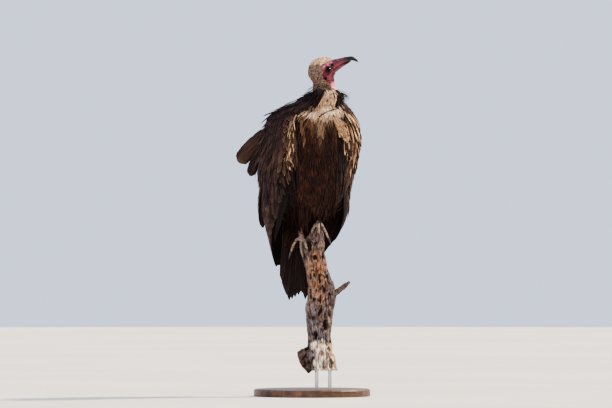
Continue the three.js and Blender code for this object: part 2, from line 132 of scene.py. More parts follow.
# %% Fair curves and soft steps
def profile(stations):
    """Smooth values between stations [place, value, value, ...]; places rise."""
    knots = np.array(stations, float)
    place, value = knots[:, 0], knots[:, 1:]
    before, after = np.arange(len(place)) - 1, np.arange(len(place)) + 1
    before[0], after[-1] = 0, len(place) - 1
    slope = (value[after] - value[before]) / (place[after] - place[before])[:, None]

    def at(where):
        x = np.clip(np.asarray(where, float), place[0], place[-1])
        high = np.clip(np.searchsorted(place, x), 1, len(place) - 1)
        low = high - 1
        span = (place[high] - place[low])[..., None]
        t = (x[..., None] - place[low][..., None]) / span
        rise = value[high] - value[low]
        bend = (slope[low] * span - rise) * (1 - t) - (slope[high] * span - rise) * t
        found = value[low] + rise * t + bend * t * (1 - t)
        return np.moveaxis(found, -1, 0)

    return at


def wedge(x, start, end):
    """0 before start, 1 after end, smooth between."""
    t = np.clip((np.asarray(x, float) - start) / (end - start), 0, 1)
    return t * t * (3 - 2 * t)


def bump(distance, radius):
    return np.exp(-((np.asarray(distance) / radius) ** 2))


def unit(vectors):
    return vectors / np.maximum(np.linalg.norm(vectors, axis=-1, keepdims=True), 1e-12)


def mix(a, b, share):
    share = np.asarray(share)[..., None]
    return np.asarray(a) * (1 - share) + np.asarray(b) * share


def paint(red, green, blue):
    """A colour as the eye names it, 0 to 255, made linear as the shader wants it."""
    share = np.array([red, green, blue]) / 255
    return np.where(share <= 0.04045, share / 12.92, ((share + 0.055) / 1.055) ** 2.4)


# %% [markdown]
# ## The bird's own shape
# The solids are built from a few profiles up the spine. The same profiles place the feathers here, so that
# a feather lies where the solid says. `s` runs up the spine from the body's centre, and the angle runs
# round the body from the breast (0) to the back (180), positive on the bird's left.

# %% Body profiles
SPINE_LEAN = math.radians(14)
BODY_CENTRE = np.array([0, 18, 600]) * MM
# Up the spine: front, back and half-width of the trunk.
TRUNK = profile([
    [-130, -50, 34, 42], [-116, -72, 48, 70], [-90, -87, 62, 93], [-50, -94, 75, 106], [-10, -91, 80, 112],
    [40, -86, 78, 113], [90, -84, 66, 107], [130, -84, 53, 95], [160, -80, 33, 68], [184, -66, 14, 40],
])
# Up the spine: centre, half-width, front depth and back depth of the folded wings' outer face.
WING = profile([
    [-300, -12, 60, 26, 22], [-255, -12, 76, 42, 38], [-230, -9, 84, 46, 44], [-190, -16, 102, 54, 52],
    [-136, -15, 120, 70, 68], [-72, -3, 125, 80, 78], [-20, 6, 135, 86, 88], [50, -2, 137, 83, 86],
    [100, 2, 132, 74, 76], [118, 6, 125, 68, 66], [140, 3, 105, 56, 50], [168, -22, 76, 36, 34],
])
# Up the spine: the angles where a wing starts in front and ends at the back.
WING_REACH = profile([
    [-300, 88, 150], [-250, 78, 160], [-200, 70, 168], [-150, 62, 175], [-100, 55, 178],
    [-50, 48, 178], [0, 42, 177], [50, 37, 174], [100, 34, 168], [168, 36, 160],
])
# Across a wing from front to back: its top edge and its lowest feather tips.
WING_EDGES = profile([
    [0, 158, -128], [0.15, 166, -192], [0.3, 163, -240], [0.45, 154, -272],
    [0.6, 142, -276], [0.75, 128, -266], [0.9, 114, -248], [1, 102, -232],
])
# Down the tail: half-width and height towards the back.
TAIL = profile([[0, 20, 34], [0.15, 30, 24], [0.35, 40, 8], [0.6, 48, -10], [0.85, 53, -22], [1, 50, -27]])
TAIL_ROOT, TAIL_LENGTH, TAIL_ROUND, TAIL_ARCH = -96, 264, 50, 9


def from_body(x, y, s):
    """A place beside the spine, in millimetres, as a point of the model in metres."""
    lean, rise = math.sin(SPINE_LEAN), math.cos(SPINE_LEAN)
    back = BODY_CENTRE[1] + (y * rise - s * lean) * MM
    up = BODY_CENTRE[2] + (y * lean + s * rise) * MM
    return np.stack([x * MM, back, up], -1)


def to_body(points):
    """The other way: sideways, back and up the spine, in millimetres."""
    x, y, z = np.moveaxis(np.asarray(points) - BODY_CENTRE, -1, 0) / MM
    lean, rise = math.sin(SPINE_LEAN), math.cos(SPINE_LEAN)
    return x, y * rise + z * lean, z * rise - y * lean


def trunk_place(s, turn, lift=0.0):
    """The trunk's surface, moved out by lift; turn in radians."""
    front, back, half = TRUNK(s)
    depth = (back - front) / 2 + lift
    return np.stack([(half + lift) * np.sin(turn), (front + back) / 2 - depth * np.cos(turn)], -1)


def wing_place(s, turn, lift=0.0):
    """The outer face of the folded wings, moved out by lift."""
    centre, half, ahead, behind = WING(s)
    reach = np.where(np.cos(turn) > 0, ahead, behind) + lift
    return np.stack([(half + lift) * np.sin(turn), centre - reach * np.cos(turn)], -1)


def wing_share(s, turn):
    """How much of the wing lies at a place round the body: 0 on the breast, 1 on the wing and back."""
    degrees = np.abs(np.degrees(turn))
    front, back = WING_REACH(s)
    across = np.clip((degrees - front) / (back - front), 0, 1)
    top, _ = WING_EDGES(across)
    return wedge(degrees, front - 4, front + 9) * wedge(top - s, -26, 34)


def between(s, turn, lift, share):
    """From the trunk's surface, where share is 0, to the wing's, where it is 1."""
    share = share[..., None]
    flat = trunk_place(s, turn, lift) * (1 - share) + wing_place(s, turn, lift) * share
    return from_body(flat[..., 0], flat[..., 1], s)


def cloak(s, turn, lift=0.0):
    """The outside of the folded wings and mantle, closed over the back to the neck."""
    return between(s, turn, lift, wing_share(s, turn))


def breast(s, turn, lift=0.0):
    """The outside of the trunk alone, with the wings' fleshy upper parts."""
    return between(s, turn, lift, wing_share(s, turn) * wedge(s, -100, -30))


def facing(surface, s, turn, lift=0.0):
    """The outward direction of a surface at a place."""
    step, step_round = 1.5, 0.015  # millimetres up the spine, and radians
    up_spine = surface(s + step, turn, lift) - surface(s - step, turn, lift)
    around = surface(s, turn + step_round, lift) - surface(s, turn - step_round, lift)
    return unit(np.cross(around, up_spine))


print("shoulder half-width, mm:", round(float(WING(100)[1])))

# %% Head frame
HEAD_TURN, HEAD_TILT = math.radians(-20), math.radians(20)
HEAD_CENTRE = np.array([-2, -62, 837]) * MM
HEAD_AXES = np.array([
    [math.cos(HEAD_TILT) * math.cos(HEAD_TURN), math.cos(HEAD_TILT) * math.sin(HEAD_TURN),
     math.sin(HEAD_TILT)],
    [-math.sin(HEAD_TURN), math.cos(HEAD_TURN), 0],
    [-math.sin(HEAD_TILT) * math.cos(HEAD_TURN), -math.sin(HEAD_TILT) * math.sin(HEAD_TURN),
     math.cos(HEAD_TILT)],
])  # forward along the bill, to the head's left, and up
EYE_RADIUS = 7.4
EYE = np.array([9.5, 15.6, -2.2])  # forward, out and up from the head's centre
EYE_AHEAD = 0.15  # how far an eye looks forward rather than straight out
SIDES = {"left": 1, "right": -1}


def from_head(places):
    """Places in the head's frame, in millimetres, as points of the model."""
    return HEAD_CENTRE + np.asarray(places, float) @ HEAD_AXES * MM


def to_head(points):
    """Points as places in the head's frame: forward, to its left and up, in millimetres."""
    return (np.asarray(points) - HEAD_CENTRE) @ HEAD_AXES.T / MM


def eye_socket(side):
    """An eye's centre and the way it looks; side is 1 on the left and -1 on the right."""
    look = Vector(HEAD_AXES[1] * side + HEAD_AXES[0] * EYE_AHEAD).normalized()
    return from_head(EYE * [1, side, 1]), look


# Up the neck: centre x and y, half-length along the head's line, half-width.
NECK = profile([
    [735, -5, -50, 45, 47], [740, -4, -52, 44, 46], [758, 1, -63, 46, 46], [774, 5, -70, 44, 40],
    [784, 4, -67, 36, 32], [800, 2, -63, 29.5, 26], [815, 0, -62, 27, 23], [834, -3, -61, 24, 20],
])


def neck_place(z, turn, lift=0.0):
    """A place round the neck or ruff, by height and by turn from the head's forward line (0) to its left."""
    x, y, long, wide = NECK(z)
    ahead, aside = (long + lift) * np.cos(turn), (wide + lift) * np.sin(turn)
    cos, sin = math.cos(HEAD_TURN), math.sin(HEAD_TURN)
    return np.stack([x + ahead * cos - aside * sin, y + ahead * sin + aside * cos, z + 0 * turn], -1) * MM


def from_perch(places):
    """Places in the perch's frame: x along its width, y away from its front, z up."""
    x, y, z = np.moveaxis(np.asarray(places, float), -1, 0)[..., None] * MM
    return x * np.array(RIGHTWARD) + y * np.array(AWAY) + z * np.array(UP)


eye_miss = np.linalg.norm(eye_socket(SIDES["right"])[0] - np.mean(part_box("eye_right"), 0))
print("eye_right off its solid, mm:", round(float(eye_miss) / MM, 2))

# %% [markdown]
# ## Markings
# A feather's colour depends on where it grows, so the colour rules are functions of place, and the skin
# under the coat uses the same rules. The bird is dark brown, with a buff crop, pale tufts where the neck
# meets the breast, tan-edged coverts along the front of each wing, and a bare pink face.

# %% Colours
BELLY, BELLY_WARM = paint(47, 30, 26), paint(76, 45, 36)
# SUNLIT_TAN is tan with sunlight painted into it: a painted highlight for the palest feather edges.
MANTLE, COVERT, TAN, SUNLIT_TAN = paint(45, 34, 35), paint(76, 57, 53), paint(158, 119, 90), paint(216, 176, 136)
QUILL, CROP_BUFF, TUFT_CREAM = paint(35, 26, 26), paint(224, 186, 150), paint(255, 226, 194)
LOWER_BELLY = paint(62, 42, 33)
PINK, PINK_DEEP, PINK_PALE = paint(102, 30, 44), paint(54, 13, 22), paint(255, 150, 188)
# LID_SKIN_AND_SHADE is near black: the lids' dark skin with painted shade, also used as painted shade in the
# face's hollows.
LID_SKIN_AND_SHADE = paint(22, 14, 15)
HOOD_CREAM, HOOD_BROWN, HOOD_DARK = paint(250, 212, 168), paint(156, 128, 114), paint(60, 45, 40)
# Pale marks on the breast, as the camera side shows them: across, up, half-length, half-width (mm), tilt from
# upright in degrees, colour and strength.
BREAST_MARKS = [
    ("crop", 41, 754, 27, 20, 8, CROP_BUFF, 1.0),
    ("crop_foot", 24, 741, 17, 9, 60, CROP_BUFF, 0.6),
    ("right_halo", -2, 728, 12, 18, 10, TAN, 0.3),
    ("right_tuft", 5, 734, 8, 12, 10, mix(TUFT_CREAM, CROP_BUFF, 0.4), 1.0),
    ("left_tuft", 52, 741, 11, 20, -15, TUFT_CREAM, 1.0),
    ("midline", 27, 706, 27, 8, 0, CROP_BUFF, 0.3),
    ("right_streaks", -20, 702, 24, 4, 0, TAN, 0.6),
    ("right_streaks_tip", -16, 674, 7, 4, 0, TAN, 0.7),
    ("inner_streaks", 6, 706, 20, 5, 0, TAN, 0.35),
    ("left_faint", 63, 696, 24, 5, 6, TAN, 0.25),
]


def speckle(points, size, seed=0):
    """Cloudy noise from -1 to 1 over patches of about that size in metres."""
    return np.array([noise.noise(Vector(p) / size + Vector((seed, 0, 0))) for p in points])


def grained(places, sizes, seed=0):
    """Noise with its own size along x, y and z, in the unit of the places, for fibres and streaks."""
    return np.array([noise.noise(Vector(p)) for p in places / np.array(sizes) + [seed, 0, 0]])


def across_view(points):
    """How far points lie to the camera's right, and away from it."""
    return points @ np.array(RIGHTWARD), points @ np.array(AWAY)


def breast_colour(points):
    """Ground colour of the breast, belly and thighs, with painted shade beside the wings' front edges."""
    across, depth = across_view(points)
    up = points[:, 2]
    near = wedge(depth, 0.06, 0.0)
    cloud = speckle(points, 0.016, 3)
    ground = mix(BELLY, BELLY_WARM, wedge(cloud, 0.0, 0.6) * wedge(up, 0.74, 0.66))
    low = wedge(up, 0.56, 0.49) * wedge(across, 0.05, 0.0)
    ground = mix(ground, LOWER_BELLY, 0.35 * low)
    # Painted shade: beside the wings' front edges, where they stand off the body, the breast is darkened to
    # near black.
    flank = np.maximum(wedge(across, 0.056, 0.080) * wedge(up, 0.72, 0.66), wedge(across, -0.030, -0.052))
    ground = mix(ground, BELLY * 0.45, 0.85 * flank)
    for _, x, z, long, wide, tilt, colour, strength in BREAST_MARKS:
        lean = math.radians(tilt)
        along = (across / MM - x) * math.sin(lean) + (up / MM - z) * math.cos(lean)
        beside = (across / MM - x) * math.cos(lean) - (up / MM - z) * math.sin(lean)
        inside = np.clip(1.5 * bump(np.hypot(along / long, beside / wide), 1.0), 0, 1)
        ground = mix(ground, colour, strength * near * inside)
    return ground


def wing_colour(s, turn, points):
    """Ground and edge colours, and how strong the pale edge is, over a wing and the mantle, with painted
    sunlight on the left wing.
    """
    degrees = np.abs(np.degrees(turn))
    front, _ = WING_REACH(s)
    behind = degrees - front
    left = turn > 0
    cloud = speckle(points, 0.02, 9)
    ground = mix(MANTLE, COVERT, wedge(cloud, -0.4, 0.6) * wedge(s, 150, 60))
    edge = mix(COVERT * 1.5, TAN, 0.1 + 0.25 * wedge(cloud, -0.2, 0.5))
    strength = 0.45 + 0.3 * wedge(cloud, -0.3, 0.5)
    leading = wedge(behind, 26, 10) * wedge(behind, 2, 7) * wedge(s, 0, 30) * wedge(s, 158, 128)
    edge = mix(edge, TAN, leading)
    ground = mix(ground, COVERT * 0.9, leading)
    strength = strength + 0.7 * leading
    # The leading coverts' pale edges take some painted sunlight.
    edge = mix(edge, SUNLIT_TAN, 0.7 * leading * (cloud > -0.2))
    # Painted sunlight: the left wing's shoulder is made paler with sunlit tan, as if the lamp lit it.
    painted_sunlight = left * wedge(behind, 44, 24) * wedge(s, 35, 75) * wedge(s, 168, 140)
    ground = mix(ground, mix(TAN, COVERT, 0.75), 0.85 * painted_sunlight)
    edge = mix(edge, SUNLIT_TAN * 1.15, painted_sunlight)
    # Painted sunlight: a sunlit strip low on the left wing's front gets stronger tan edges.
    painted_sunlit_strip = left * wedge(behind, 10, 18) * wedge(behind, 40, 30) * wedge(s, -110, -40)
    strength = np.clip(np.maximum(strength + 0.4 * painted_sunlit_strip, 0.95 * painted_sunlight), 0, 1)
    return ground, mix(edge, TAN, 0.6 * painted_sunlit_strip), strength


# The bare face, in the head's frame: up the head, where the pink starts.
FACE_EDGE = profile([[-60, 6], [-52, 0], [-38, -1], [-17, -13], [0, -7], [16, -1], [19, 24], [30, 40]])


def bareness(places):
    """1 on the bare pink skin of the face and throat, 0 under the hood's down."""
    x, y, z = places.T
    wobble = 1.6 * np.sin(z * 0.55) + 1.2 * np.sin(z * 0.23 + 1)
    front = wedge(x - FACE_EDGE(z)[0] + wobble, -2, 2.5)
    throat = wedge(z, -62, -56) * (wedge(np.abs(y), 24, 19) + wedge(z, -34, -26))
    return front * np.clip(throat, 0, 1)


def off_line(x, z, start, end):
    """Distance of points from a line on the side of the head, given forward and up."""
    start, end = np.array(start, float), np.array(end, float)
    run = end - start
    here = np.stack([x, z], -1) - start
    share = np.clip(here @ run / max(run @ run, 1e-9), 0, 1)
    return np.hypot(*(here - share[:, None] * run).T)


# Hollows of the face, each as a line between two places, forward and up.
EAR = ((-6.0, -20.6), (-6.0, -20.6))
NOSTRIL = ((22.5, 4.9), (28.0, 6.1))
LORE = ((20, -3), (23, -7))


def head_colour(points):
    """Pink on the bare face with its darker eye ring, a painted brow highlight, painted shade on the lids and
    in the ear, nostril and lore, and cream to brown under the hood.
    """
    places = to_head(points)
    x, y, z = places.T
    cloud = speckle(points, 0.0035, 5)
    pink = mix(PINK, PINK_DEEP, 0.55 * wedge(cloud, -0.1, 0.5))
    from_eye = np.hypot(x - EYE[0], z - EYE[2])
    pink = mix(pink, PINK_DEEP * 0.7, 0.8 * bump(from_eye - 8.5, 2.6))
    blotch = speckle(points, 0.005, 8)
    pink = mix(pink, PINK * 2.2, 0.5 * wedge(blotch, 0.1, 0.4))
    # Painted highlight: the brow ridge above the eye is made pale pink, as if the lamp caught it.
    brow = bump(off_line(x, z, (-3, 7), (12, 10)), 4.0) * wedge(blotch, -0.3, 0.2)
    pink = mix(pink, PINK_PALE, 0.38 * brow)
    spots = wedge(speckle(points, 0.0026, 12), 0.2, 0.4)
    pink = mix(pink, mix(PINK_PALE, PINK * 1.3, 0.85 * spots), 0.95 * wedge(z, -33, -40))
    # Painted shade: the lids round the eye are darkened to near black.
    pink = mix(pink, LID_SKIN_AND_SHADE, 0.95 * wedge(from_eye, 9.8, 7.4))
    # Painted shade: the ear, nostril and lore hollows are darkened.
    for hollow, radius, share in ((EAR, 3.4, 1.0), (NOSTRIL, 3.2, 1.0), (LORE, 2.4, 0.6)):
        pink = mix(pink, LID_SKIN_AND_SHADE, share * np.clip(1.5 * bump(off_line(x, z, *hollow), radius), 0, 1))
    down = mix(HOOD_BROWN, HOOD_DARK, 0.45 * wedge(cloud, 0.05, 0.4))
    patchy = speckle(points, 0.009, 6)
    crown = wedge(points[:, 2] / MM + 5 * patchy, 846, 857)
    mottle = wedge(speckle(points, 0.0065, 14), 0.0, 0.4)
    down = mix(down, HOOD_CREAM, crown * (1 - 0.5 * mottle))
    band = bump(off_line(x, z, (-14, -34), (14, -62)), 9)
    down = mix(down, HOOD_CREAM * 0.36, 0.7 * band)
    return mix(down, pink, bareness(places))


print("marks on the breast:", [m[0] for m in BREAST_MARKS])

# %% [markdown]
# ## One skin
# A museum mount has one skin from bill to toes, so the flesh solids must not show as separate blocks. Each
# is copied, softened and drawn in by the depth of its coat. A rolled grid makes the body with the fleshy
# part of the wings. A voxel remesh then welds all of them into one closed surface, the way clay is smoothed
# together.


# %% Modelling helpers
def select_only(piece):
    if bpy.context.mode != "OBJECT":
        bpy.ops.object.mode_set(mode="OBJECT")
    bpy.ops.object.select_all(action="DESELECT")
    piece.select_set(True)
    bpy.context.view_layer.objects.active = piece


def finish_modifier(piece, kind, **settings):
    """Adds a modifier, sets it and applies it."""
    select_only(piece)
    made = piece.modifiers.new(kind.lower(), kind)
    for name, value in settings.items():
        setattr(made, name, value)
    bpy.ops.object.modifier_apply(modifier=made.name)


def corners(piece, field="co"):
    """The places of a piece's corners, or their normals."""
    found = np.empty(len(piece.data.vertices) * 3, np.float32)
    piece.data.vertices.foreach_get(field, found)
    return found.reshape(-1, 3).astype(float)


def set_corners(piece, places):
    piece.data.vertices.foreach_set("co", np.asarray(places, np.float32).ravel())
    piece.data.update()


def mend(piece, operator, **settings):
    """Runs one operator on the whole of a piece in edit mode and turns its faces outwards."""
    select_only(piece)
    bpy.ops.object.mode_set(mode="EDIT")
    bpy.ops.mesh.select_all(action="SELECT")
    operator(**settings)
    bpy.ops.mesh.normals_make_consistent(inside=False)
    bpy.ops.object.mode_set(mode="OBJECT")


def weld(piece, distance=0.01 * MM):
    mend(piece, bpy.ops.mesh.remove_doubles, threshold=distance)


def cap(piece):
    mend(piece, bpy.ops.mesh.fill_holes, sides=0)


def solid_copy(node):
    """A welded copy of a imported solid, free to be shaped."""
    made = bpy.data.objects.new(node + "_copy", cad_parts[node].data.copy())
    bpy.context.scene.collection.objects.link(made)
    made.data.materials.clear()
    weld(made)
    return made


def tube(name, route, sizes, sides=16, steps=8, up=(0, 0, 1)):
    """A closed limb: a circle is extruded ring by ring, and the rings are set along a smooth route in metres.
    sizes lists [place along, half-height, half-width] in millimetres."""
    bpy.ops.mesh.primitive_circle_add(vertices=sides, radius=1)
    piece = bpy.context.object
    piece.name = name
    bpy.ops.object.mode_set(mode="EDIT")
    bpy.ops.mesh.select_all(action="SELECT")
    for _ in range(steps):
        bpy.ops.mesh.extrude_region_move(TRANSFORM_OT_translate={"value": (0, 0, 1)})
    bpy.ops.object.mode_set(mode="OBJECT")
    flat = corners(piece)
    along, angle = flat[:, 2] / steps, np.arctan2(flat[:, 0], flat[:, 1])
    route = np.asarray(route, float)
    length = np.concatenate([[0], np.cumsum(np.linalg.norm(np.diff(route, axis=0), axis=1))])
    line = profile(np.column_stack([length / length[-1], route]))
    high, wide = profile(sizes)(along)
    middle = np.moveaxis(line(along), 0, -1)
    ahead = unit(np.moveaxis(line(along + 0.01) - line(along - 0.01), 0, -1))
    side = unit(np.cross(ahead, np.array(up, float)))
    top = np.cross(side, ahead)
    across = side * (wide * np.sin(angle))[:, None] + top * (high * np.cos(angle))[:, None]
    set_corners(piece, middle + across * MM)
    cap(piece)
    return piece


def weigh(piece, name, share):
    """A vertex group whose weights, 0 to 1, come from each corner's place."""
    group = piece.vertex_groups.new(name=name)
    for index, weight in enumerate(share(corners(piece))):
        if weight > 0.01:
            group.add([index], float(weight), "REPLACE")


def join(name, pieces):
    """Joins pieces into one mesh."""
    select_only(pieces[0])
    for piece in pieces[1:]:
        piece.select_set(True)
    bpy.ops.object.join()
    whole = bpy.context.object
    whole.name = name
    whole.data.name = name
    return whole


def in_region(piece, share):
    """Selects, in edit mode, the faces whose corners all lie where share(points) is over a half."""
    inside = share(corners(piece)) > 0.5
    select_only(piece)
    bpy.ops.object.mode_set(mode="EDIT")
    bpy.ops.mesh.select_mode(type="FACE")
    bpy.ops.mesh.select_all(action="DESELECT")
    bpy.ops.object.mode_set(mode="OBJECT")
    for face in piece.data.polygons:
        face.select = all(inside[v] for v in face.vertices)
    bpy.ops.object.mode_set(mode="EDIT")


# %% The body: a grid rolled into a barrel
BODY_COAT = 6.0
BARREL_AROUND, BARREL_UP = 96, 80
BARREL_LOW, BARREL_HIGH = -127, 182

bpy.ops.mesh.primitive_grid_add(x_subdivisions=BARREL_AROUND, y_subdivisions=BARREL_UP, size=2)
barrel = bpy.context.object
flat = corners(barrel)
turns = flat[:, 0] * math.pi
heights = BARREL_LOW + (flat[:, 1] + 1) / 2 * (BARREL_HIGH - BARREL_LOW)
set_corners(barrel, breast(heights, turns, -BODY_COAT))
weld(barrel, 0.2 * MM)
cap(barrel)
print("barrel faces:", len(barrel.data.polygons))

# %% [markdown]
# ### Lids
# An eye looks alive only when lids wrap it. Each lid ring starts as a torus set round the eyeball's outer
# face, stretched into an almond. The remesh melts it into the face, and the folds are raised afterwards.

# %% Lids and welded skin
SKIN_VOXEL = 2.3 * MM
LIMB_VOXEL = 1.7 * MM
LID_RADIUS, LID_THICK, LID_OUT = 6.5 * MM, 1.4 * MM, 4.3 * MM
DEEPEST_COAT = 7.0  # over the ruff; the rest is a share of it
FOOT_TOPS = {side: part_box(f"foot_{side}")[1][2] for side in SIDES}


def on_feet(points):
    """1 on the bare feet, 0 on the feathered thighs and above."""
    beside, _ = across_view(points)
    top = np.where(beside > 0, FOOT_TOPS["left"], FOOT_TOPS["right"])
    return wedge(points[:, 2], top - 0.004, top - 0.012)


def coat_share(points):
    """How deep the coat is over the head, neck and legs, as a share of the deepest."""
    up = points[:, 2]
    deep = 0.7 + 2.8 * wedge(up, 0.815, 0.800) + 3.5 * wedge(up, 0.790, 0.778) - 3.0 * wedge(up, 0.62, 0.56)
    return np.clip(deep / DEEPEST_COAT, 0, 1) * (1 - 0.96 * on_feet(points))


# The thighs run up into the barrel, and a short root runs from it into the neck, so that the weld is whole.
THIGHS = {
    "right": [[-50, 40, 515], [-44, 30, 470], [-36, 14, 434]],
    "left": [[34, 38, 528], [27, 25, 488], [18, 10, 457]],
}
THIGH_SIZES = [[0, 41, 41], [0.5, 35, 35], [0.85, 20, 20], [1, 11, 11]]
NECK_ROOT = np.array([[-2, -50, 745], [2, -62, 770], [3, -66, 794]]) * MM
parts = [solid_copy(n) for n in ("head", "neck", "foot_left", "foot_right")]
for side, route in THIGHS.items():
    parts.append(tube(f"thigh_{side}_core", from_perch(route), THIGH_SIZES, up=(1, 0, 0)))
parts.append(tube("neck_root", NECK_ROOT, [[0, 39, 40], [1, 33, 31]], up=(1, 0, 0)))
limbs = join("limbs", parts)
finish_modifier(limbs, "REMESH", mode="VOXEL", voxel_size=LIMB_VOXEL)
weigh(limbs, "rounding", lambda points: 1 - 0.8 * on_feet(points))
finish_modifier(limbs, "SMOOTH", factor=0.6, iterations=14, vertex_group="rounding")
weigh(limbs, "coat", coat_share)
finish_modifier(limbs, "DISPLACE", strength=-DEEPEST_COAT * MM, mid_level=0, vertex_group="coat")
limbs.vertex_groups.clear()
flesh = [barrel, limbs]
for side in SIDES.values():
    centre, outward = eye_socket(side)
    place = Vector(centre) + outward * LID_OUT
    bpy.ops.mesh.primitive_torus_add(
        location=place, rotation=outward.to_track_quat("Z", "Y").to_euler(),
        major_segments=28, minor_segments=10,
        major_radius=LID_RADIUS, minor_radius=LID_THICK)
    lid = bpy.context.object
    settle()
    around = corners(lid) - place
    set_corners(lid, corners(lid) - np.outer(around @ HEAD_AXES[2], HEAD_AXES[2]) * 0.12)
    flesh.append(lid)
skin = join("skin", flesh)
finish_modifier(skin, "REMESH", mode="VOXEL", voxel_size=SKIN_VOXEL)
finish_modifier(skin, "SMOOTH", factor=0.5, iterations=2)
print("skin faces after the weld:", len(skin.data.polygons))

# %% Finer faces where the skin is bare
HIDDEN_LOW, HIDDEN_HIGH = 0.48, 0.755  # heights between which feathers hide the skin
HIDDEN_THINNING = 0.6


def at_face(points):
    """1 on the bare face and the skin round it."""
    places = to_head(points)
    bare = wedge(places[:, 0] - FACE_EDGE(places[:, 2])[0], -8, -6)
    return bare * wedge(places[:, 2], -50, -48) * wedge(points[:, 2], 0.775, 0.779)


def at_head(points):
    return wedge(points[:, 2], 0.762, 0.766)


def is_hidden(heights):
    return (heights < HIDDEN_HIGH) & (heights > HIDDEN_LOW)


for region in (at_head, at_face, on_feet):
    in_region(skin, region)
    bpy.ops.mesh.subdivide(number_cuts=1, smoothness=0)
    bpy.ops.object.mode_set(mode="OBJECT")
weigh(skin, "hidden", lambda points: is_hidden(points[:, 2]))
hidden_share = float(np.mean(is_hidden(np.array([face.center[2] for face in skin.data.polygons]))))
finish_modifier(skin, "DECIMATE", ratio=1 - HIDDEN_THINNING * hidden_share, vertex_group="hidden",
                vertex_group_factor=10)
skin.vertex_groups.clear()
print("skin faces:", len(skin.data.polygons), "share under feathers before thinning:", round(hidden_share, 2))

# %% [markdown]
# ### Folds, ear and throat
# The face of this bird is bare, wrinkled skin. Each wrinkle is a small hill or valley along a line, so the
# points near it are moved along their own normals by a fraction of a millimetre, as a sculptor's tool
# would.


# %% Sculpt the bare skin
GAPE = ((27, -7.5), (3, -15.5))
BROW = ((-1, 7.5), (22, 7.0))
WRINKLE_RING = 2.9  # mm between the rings round the eye
CREASE_PITCH = 4.4  # mm between the creases across the throat
SCUTE_PITCH = 3.0  # mm between the rings round a toe
TOES = ("outer", "middle", "inner", "hind")


def face_relief(points, normals):
    """Moves the face's points along their normals: ear, brow, gape, nostril, rings round the eye, creases."""
    x, y, z = to_head(points).T
    side = wedge(np.abs(y), 3, 9)
    from_ear = np.hypot(x - EAR[0][0], z - EAR[0][1])
    from_eye = np.hypot(x - EYE[0], (z - EYE[2]) * 1.08)
    from_gape, from_slot = off_line(x, z, *GAPE), off_line(x, z, *NOSTRIL)
    fine, broad = speckle(points, 0.0016), speckle(points, 0.006, 7)
    rise = side * (-5.6 * bump(from_ear, 3.0) + 1.1 * bump(from_ear - 4.6, 1.4))
    rise += side * (1.9 * bump(off_line(x, z, *BROW), 3.0) - 1.2 * bump(off_line(x, z, *LORE), 3.0))
    rise += side * (-1.5 * bump(from_gape, 1.2) + 0.7 * bump(from_gape - 2.8, 1.2))
    rise += side * (-5.2 * bump(from_slot, 2.4) + 0.9 * bump(from_slot - 4.2, 1.3))
    rings = np.cos((from_eye - 8.0 + broad * 1.6) * 2 * math.pi / WRINKLE_RING)
    rise += side * 0.42 * rings * wedge(from_eye, 7.6, 9.0) * wedge(from_eye, 17, 12)
    creases = np.cos((z + 0.45 * x + broad * 3.0) * 2 * math.pi / CREASE_PITCH)
    rise += 0.5 * creases * wedge(z, -14, -22) * wedge(from_ear, 5, 8)
    rise += 0.35 * broad + 0.16 * fine
    return points + normals * (rise * bareness(np.stack([x, y, z], -1)))[:, None] * MM


def foot_ball(side):
    """The ball of a foot: level with the middle of its claws, a little below the shank's top."""
    claws = np.mean([np.array(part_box(f"claw_{side}_{toe}")).mean(0) for toe in TOES], 0)
    return np.array([claws[0], claws[1], FOOT_TOPS[side] - 0.022])


def foot_relief(points, normals):
    """Rings of scutes round each toe, and small round scales up the shank."""
    moved = points.copy()
    for side in SIDES:
        low, high = (np.array(c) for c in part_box(f"foot_{side}"))
        near = np.all((points > low - 0.004) & (points < high + 0.004), 1)
        away = np.linalg.norm(points[near] - foot_ball(side), axis=1) / MM
        scute = np.abs(np.sin(away * math.pi / SCUTE_PITCH)) ** 0.5 - 0.7
        rise = 0.55 * scute * wedge(away, 9, 14) + 0.35 * speckle(points[near], 0.0022)
        moved[near] += normals[near] * rise[:, None] * MM
    return moved


def nape_fill(points):
    """How far the nape stands out, in mm: down feathers are thickest there."""
    up = points[:, 2] / MM
    return 3.2 * bump(up - 818, 22) * wedge(to_head(points)[:, 0], -4, -20)


places, normals = corners(skin), corners(skin, "normal")
places += normals * nape_fill(places)[:, None] * MM
head_part = at_face(places) > 0.5
places[head_part] = face_relief(places[head_part], normals[head_part])
foot_part = on_feet(places) > 0.5
places[foot_part] = foot_relief(places[foot_part], normals[foot_part])
set_corners(skin, places)
skin.data.shade_smooth()
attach(skin, "root")
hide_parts("head", "neck", "ruff", "trunk", "thigh_left", "thigh_right", "foot_left", "foot_right")
print("points sculpted on the face:", int(head_part.sum()), "and on the feet:", int(foot_part.sum()))

# %% [markdown]
# ## How a feather is made
# A feather is a thin vane with a raised shaft down its middle. One pattern of each kind is modelled flat: a
# grid is narrowed row by row into the outline, then thickened in the middle only, so that its edges stay
# sharp. The pattern is then copied by the thousand. Each copy is bent along its own path over the body,
# which keeps it lying on what is under it, and its edges are frayed a little by chance. The chance is
# seeded, so that every run gives the same bird.


